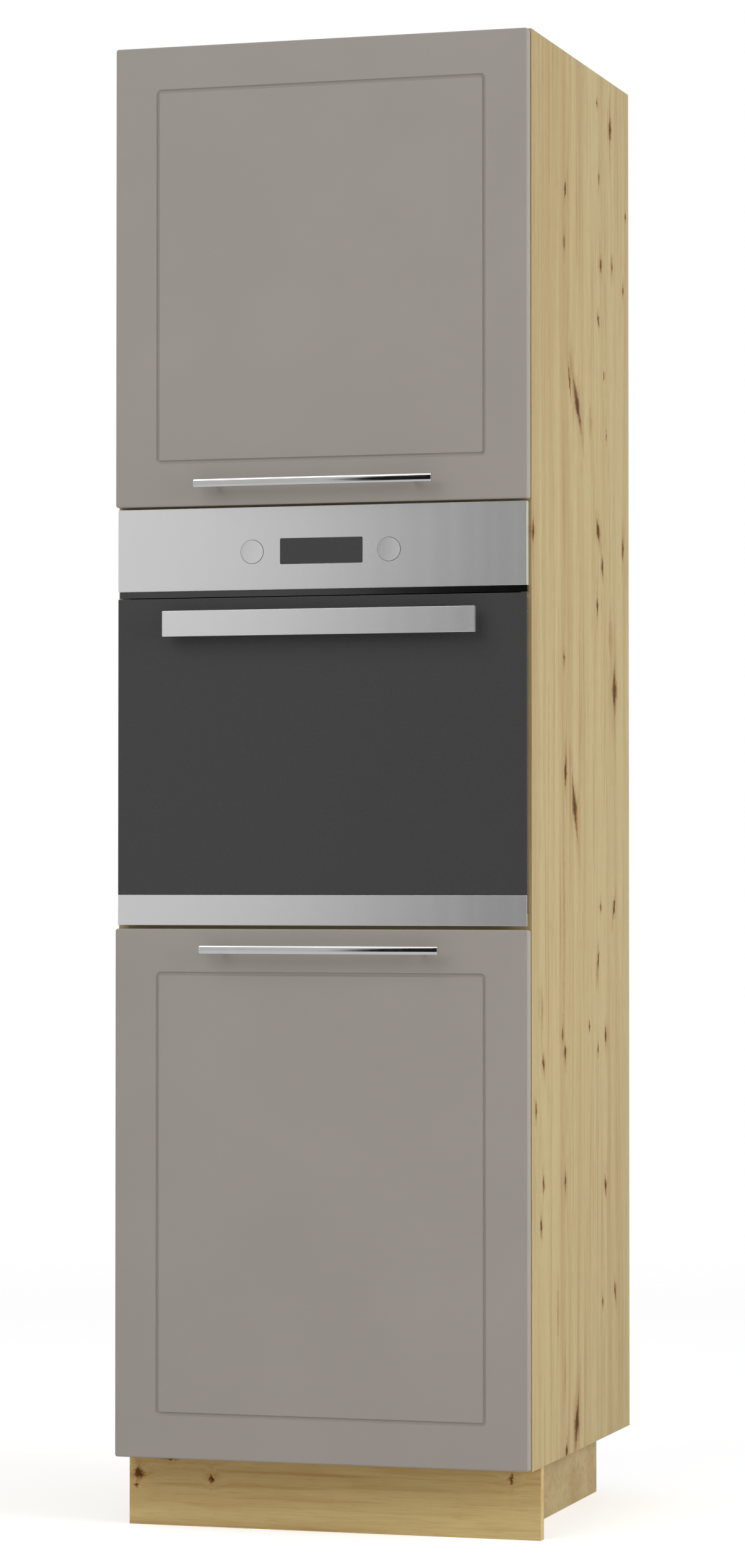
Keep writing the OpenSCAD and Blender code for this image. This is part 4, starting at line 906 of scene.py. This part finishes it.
def make_gasket():
    """The round seal in its channel along the cavity's rim."""
    low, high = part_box("door_gasket")
    centre = (low + high) / 2
    radius = (high.y - low.y) / 2
    path_w = (high.x - low.x) / 2 - SEAL_BAND / 2
    path_h = (high.z - low.z) / 2 - SEAL_BAND / 2
    loops = []
    for side in range(SEAL_SIDES):
        angle = 2 * math.pi * side / SEAL_SIDES
        grow = SEAL_BAND / 2 * math.cos(angle)
        y = centre.y + radius * math.sin(angle)
        outline = rounded_loop(path_w + grow, path_h + grow, SEAL_CORNER + grow, 8)
        loops.append([(centre.x + x, y, centre.z + z) for x, z in outline])
    loops.append(loops[0])
    bm = bmesh.new()
    stack_loops(bm, loops, closed=False)
    bmesh.ops.remove_doubles(bm, verts=bm.verts, dist=SEAL_SEAM)
    add_piece("seal_ring", bm, "seal", "cabinet", ("door_gasket",))


# The glass cap from its middle outwards: share of its radius, depth from the front
LAMP_DOME = (
    (0.2, 0.0), (0.5, 0.5 * MM), (0.78, 1.6 * MM), (0.93, 3.4 * MM), (1.0, 5.2 * MM),
)
CAP_LENGTH = 9 * MM
SOCKET_RADIUS = 16 * MM


def make_lamp():
    """The lamp's ribbed glass cap on its ceramic socket."""
    low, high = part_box("oven_lamp")
    centre = (low + high) / 2
    radius = (high.x - low.x) / 2
    dome = [(radius * share, depth) for share, depth in LAMP_DOME]
    socket = ((SOCKET_RADIUS, CAP_LENGTH), (SOCKET_RADIUS, high.y - low.y))
    base = (centre.x, low.y, centre.z)
    bm = bmesh.new()
    lathe(bm, (*dome, (radius, CAP_LENGTH)), base, BACKWARD, MANY_SIDES)
    lathe(bm, socket, base, BACKWARD)
    add_piece("lamp_cap", bm, "lamp_glass", "cabinet", ("oven_lamp",))


# ---------------------------------------------------------------- screws

# A cross recess as shares of the head's radius and height, and the head's flat top
CROSS_ARM = 0.60
CROSS_HALF = 0.15
CROSS_FLOOR = 0.25
HEAD_TOP = 0.72
HEAD_SIDES = 24

# The dome of a head from its seat up, as shares of its radius and height
DOME = ((1.0, 0.0), (1.0, 0.35), (0.92, 0.75), (HEAD_TOP, 1.0))

# Heads up to this radius are low; solids up to the last radius are pins with no head
SMALL_HEAD = 4.5 * MM
LOW_HEAD = 1.8 * MM
HIGH_HEAD = 2.4 * MM
HEADLESS = 2.2 * MM

# The shank: its radius at most, and its share of the head's; its blunt point
SHANK_RADIUS = 1.75 * MM
SHANK_SHARE = 0.6
SHANK_SIDES = 16
POINT_SHARE = 0.5
POINT_START = 0.2 * MM
POINT_END = 2 * MM


def cross_head(bm, centre, radius, high, axis):
    """A domed screw head with a cross recess, whose seat is at centre."""
    turn = Vector((0, 0, 1)).rotation_difference(Vector(axis)).to_matrix()
    arm = radius * CROSS_ARM
    half = radius * CROSS_HALF
    cross = [(arm, half), (half, half), (half, arm), (-half, arm), (-half, half), (-arm, half),
             (-arm, -half), (-half, -half), (-half, -arm), (half, -arm), (half, -half), (arm, -half)]

    def put(points):
        return [bm.verts.new(Vector(centre) + turn @ point) for point in points]

    rings = [put(circle(radius * share, high * up, HEAD_SIDES)) for share, up in DOME]
    for low_ring, high_ring in zip(rings, rings[1:]):
        band(bm, low_ring, high_ring)
    bm.faces.new(rings[0])
    top = put([Vector((x, y, high)) for x, y in cross])
    bottom = put([Vector((x, y, high * CROSS_FLOOR)) for x, y in cross])
    outer = circle(radius * HEAD_TOP, 0, HEAD_SIDES)
    inner = [Vector((x, y, 0)) for x, y in cross]
    verts = rings[-1] + top
    for a, b, c in tessellate_polygon([outer, inner]):
        if len({a, b, c}) == 3:
            bm.faces.new((verts[a], verts[b], verts[c]))
    band(bm, top, bottom)
    bm.faces.new(bottom)


def make_screws(node):
    """Screws with cross heads in place of the plain ones of a node."""
    bm = bmesh.new()
    for low, high in solid_boxes(node):
        size = high - low
        centre = (low + high) / 2
        along = max(range(3), key=lambda i: size[i])
        radius = min(size[i] for i in range(3) if i != along) / 2
        axis = Vector((0, 0, 0))
        outward = screw_side(node, centre, along)
        axis[along] = outward
        head = LOW_HEAD if radius < SMALL_HEAD else HIGH_HEAD
        seat = centre.copy()
        seat[along] = (high if outward > 0 else low)[along] - outward * head
        tip = (low if outward > 0 else high)[along]
        length = abs(seat[along] - tip)
        if radius > HEADLESS:
            cross_head(bm, seat, radius, head, axis)
            inner = min(SHANK_RADIUS, radius * SHANK_SHARE)
        else:
            inner = radius
        shank = ((inner * POINT_SHARE, POINT_START), (inner, POINT_END), (inner, length))
        base = [tip if i == along else centre[i] for i in range(3)]
        lathe(bm, shank, base, axis, SHANK_SIDES)
    add_piece(node + "_crossed", bm, "zinc", body_of_node(node), (node,))


def screw_side(node, centre, along):
    """Towards which side of its axis a screw's head looks, +1 or -1."""
    if along == 1:
        return 1 if node.endswith("door_fasteners") else -1
    if along == 2:
        return -1
    return 1 if centre.x < 0 else -1


# ---------------------------------------------------------------- stage and light


def stage_sheet(name, corners, faces):
    """A sheet of the studio, which isn't part of the object."""
    mesh = bpy.data.meshes.new(name)
    mesh.from_pydata(corners, [], faces)
    sheet = bpy.data.objects.new(name, mesh)
    scene.collection.objects.link(sheet)
    return sheet


# The floor fades out between two distances from the origin; its lift is what it glows by
FLOOR_REACH = 6.0
FLOOR_FADE = (2.2, 4.6)
FLOOR_LIFT = 0.44
FLOOR_TONE = 243


def make_floor():
    """A white floor that keeps the shadow and fades into the white surroundings."""
    far = FLOOR_REACH
    corners = ((-far, -far, 0), (far, -far, 0), (far, far, 0), (-far, far, 0))
    floor = stage_sheet("floor", corners, [(0, 1, 2, 3)])
    g = Graph("floor_white", Roughness=0.9, Specular_IOR_Level=0.0)
    g.colour(grey(FLOOR_TONE))
    path = g.add("ShaderNodeLightPath")
    away = g.vector_calc("LENGTH", g.place(), output=1)
    fade = g.spread(away, *FLOOR_FADE)
    lift = g.add("ShaderNodeEmission", Strength=g.calc("MULTIPLY", path.outputs[0], FLOOR_LIFT))
    both = g.add("ShaderNodeAddShader")
    g.join(g.shader.outputs[0], both.inputs[0])
    g.join(lift.outputs[0], both.inputs[1])
    clear = g.add("ShaderNodeBsdfTransparent")
    mix = g.add("ShaderNodeMixShader", Fac=fade)
    g.join(both.outputs[0], mix.inputs[1])
    g.join(clear.outputs[0], mix.inputs[2])
    g.join(mix.outputs[0], g.tree.nodes["Material Output"].inputs["Surface"])
    floor.data.materials.append(g.material)


# The wall's place and reach in metres, and the line where its tone turns from left to right
WALL_PLACE = -3.3
WALL_NEAR = -0.45
WALL_WIDE = (-3.2, 2.6)
WALL_TOP = 4.6
WALL_LIFT = 0.004
WALL_EDGE = -0.83
WALL_SOFT = 0.08
WALL_FOOT = (-2.8, -2.5)
WALL_LEFT_TONE = 192
WALL_RIGHT_TONE = 26
WALL_FLOOR_TONE = 204


def make_studio_wall():
    """The dim studio wall and floor in front of the object, which only gloss shows."""
    ridge = ((WALL_NEAR, WALL_LIFT), (WALL_PLACE, WALL_LIFT), (WALL_PLACE, WALL_TOP))
    corners = [(x, y, z) for y, z in ridge for x in WALL_WIDE]
    wall = stage_sheet("studio_wall", corners, [(0, 1, 3, 2), (2, 3, 5, 4)])
    g = Graph("studio_wall")
    x, y = g.add("ShaderNodeSeparateXYZ", Vector=g.place()).outputs[:2]
    turn = g.spread(x, WALL_EDGE - WALL_SOFT, WALL_EDGE + WALL_SOFT)
    tone = g.mix(turn, grey(WALL_LEFT_TONE), grey(WALL_RIGHT_TONE))
    tone = g.mix(g.spread(y, *WALL_FOOT), tone, grey(WALL_FLOOR_TONE))
    glow = g.add("ShaderNodeEmission", Color=tone, Strength=1.0)
    g.join(glow.outputs[0], g.tree.nodes["Material Output"].inputs["Surface"])
    wall.data.materials.append(g.material)
    wall.visible_camera = False
    wall.visible_diffuse = False
    wall.visible_shadow = False
    wall.visible_transmission = False


# Strength of the white surroundings as light, and as what gloss mirrors
AMBIENT = 0.46
MIRRORED = 0.62


def make_world():
    """Soft white surroundings: full white where seen, dimmer where mirrored and as light."""
    world = bpy.data.worlds.new("surroundings")
    world.use_nodes = True
    tree = world.node_tree
    tree.nodes.clear()
    path = tree.nodes.new("ShaderNodeLightPath")
    seen = tree.nodes.new("ShaderNodeMath")
    seen.operation = "MAXIMUM"
    mirrored = tree.nodes.new("ShaderNodeMath")
    mirrored.operation = "MULTIPLY"
    mirrored.inputs[1].default_value = MIRRORED
    tree.links.new(path.outputs["Is Glossy Ray"], mirrored.inputs[0])
    tree.links.new(path.outputs["Is Camera Ray"], seen.inputs[0])
    tree.links.new(mirrored.outputs[0], seen.inputs[1])
    through = tree.nodes.new("ShaderNodeMath")
    through.operation = "MAXIMUM"
    tree.links.new(seen.outputs[0], through.inputs[0])
    tree.links.new(path.outputs["Is Transmission Ray"], through.inputs[1])
    strength = tree.nodes.new("ShaderNodeMapRange")
    tree.links.new(through.outputs[0], strength.inputs["Value"])
    strength.inputs["To Min"].default_value = AMBIENT
    strength.inputs["To Max"].default_value = 1.0
    background = tree.nodes.new("ShaderNodeBackground")
    background.inputs["Color"].default_value = (1, 1, 1, 1)
    tree.links.new(strength.outputs[0], background.inputs["Strength"])
    output = tree.nodes.new("ShaderNodeOutputWorld")
    tree.links.new(background.outputs[0], output.inputs["Surface"])
    scene.world = world


def area_lamp(name, place, aim, size, power):
    """A soft lamp of that size at place, turned to look at aim."""
    data = bpy.data.lights.new(name, "AREA")
    data.shape = "RECTANGLE"
    data.size = size
    data.size_y = size
    data.energy = power
    lamp = bpy.data.objects.new(name, data)
    lamp.location = place
    lamp.rotation_euler = (Vector(aim) - Vector(place)).to_track_quat("-Z", "Y").to_euler()
    scene.collection.objects.link(lamp)
    return lamp


def make_lights():
    """The key lamp from the upper left, and a fill that lights the right side."""
    area_lamp("key", place=(-2.0, -3.9, 4.4), aim=(0, 0, 1.1), size=4.2, power=106)
    fill = area_lamp("fill", place=(4.4, -1.2, 1.8), aim=(0, 0, 1.0), size=2.6, power=124)
    fill.visible_glossy = False


# ---------------------------------------------------------------- the object


def dress_node(node, material):
    """Gives a node that is shown as it is its material."""
    mesh = nodes[node].data
    mesh.materials.clear()
    mesh.materials.append(MATERIALS[material])


# Nodes shown with rounded edges: the rounding in millimetres and the finish
ROUNDED = {
    "side_panel_left": (0.6, "oak_side"),
    "side_panel_right": (0.6, "oak_side"),
    "top_panel": (0.5, "oak_board"),
    "bottom_panel": (0.5, "oak_board"),
    "oven_shelf": (0.5, "oak_board"),
    "divider_shelf": (0.5, "oak_board"),
    "adjustable_shelves": (0.6, "oak_board"),
    "plinth_front": (0.6, "oak_plinth"),
    "plinth_sides": (0.5, "oak_board"),
    "back_sheets": (0.3, "white_sheet"),
    "control_panel": (0.4, "stainless"),
    "oven_door_trim": (0.35, "stainless"),
    "oven_door_glass": (0.6, "dark_glass"),
    "display_glass": (0.15, "display"),
    "vent_strip": (0.3, "vent_black"),
    "oven_casing": (0.4, "galvanised"),
    "oven_front_frame": (0.4, "enamel"),
    "oven_door_frame": (0.4, "enamel"),
    "oven_hinge_brackets": (0.3, "galvanised"),
    "oven_cavity": (0.4, "enamel"),
    "hinge_plates": (0.8, "nickel_steel"),
    "hinge_arms": (0.5, "nickel_steel"),
    "wall_brackets": (0.4, "zinc"),
    "plinth_clips": (0.8, "black_plastic"),
    "terminal_box": (1.0, "black_plastic"),
}

# Nodes shown as built, with their finish
AS_BUILT = {
    "shelf_pins": "nickel_steel",
    "cam_fittings": "zinc",
    "leg_sockets": "black_plastic",
    "foot_front_left": "black_plastic",
    "foot_front_right": "black_plastic",
    "foot_rear_left": "black_plastic",
    "foot_rear_right": "black_plastic",
    "upper_hinge_cups": "nickel_steel",
    "lower_hinge_cups": "nickel_steel",
    "oven_insulation": "glass_wool",
    "fan_baffle": "enamel",
    "fan_motor": "galvanised",
    "heating_elements": "heater_steel",
    "rack_guides": "chrome",
    "wire_shelf": "chrome",
    "baking_tray": "enamel",
    "control_electronics": "circuit",
    "cooling_fan_housing": "galvanised",
    "convection_fan": "heater_steel",
    "cooling_fan": "black_plastic",
    "left_spindle": "stainless",
    "right_spindle": "stainless",
}

make_camera()
make_world()
make_lights()
make_floor()
make_studio_wall()
for node, material in AS_BUILT.items():
    dress_node(node, material)
for node, (width, material) in ROUNDED.items():
    soften(node, width * MM, material)
for name in ("upper_door", "lower_door"):
    make_door(name)
    make_handle(name.replace("door", "handle"), name)
    make_screws(name + "_fasteners")
make_screws("cabinet_screws")
make_screws("oven_handle_screws")
make_oven_bar()
make_knob("left_knob")
make_knob("right_knob")
make_gasket()
make_lamp()

scene.view_settings.view_transform = "Standard"
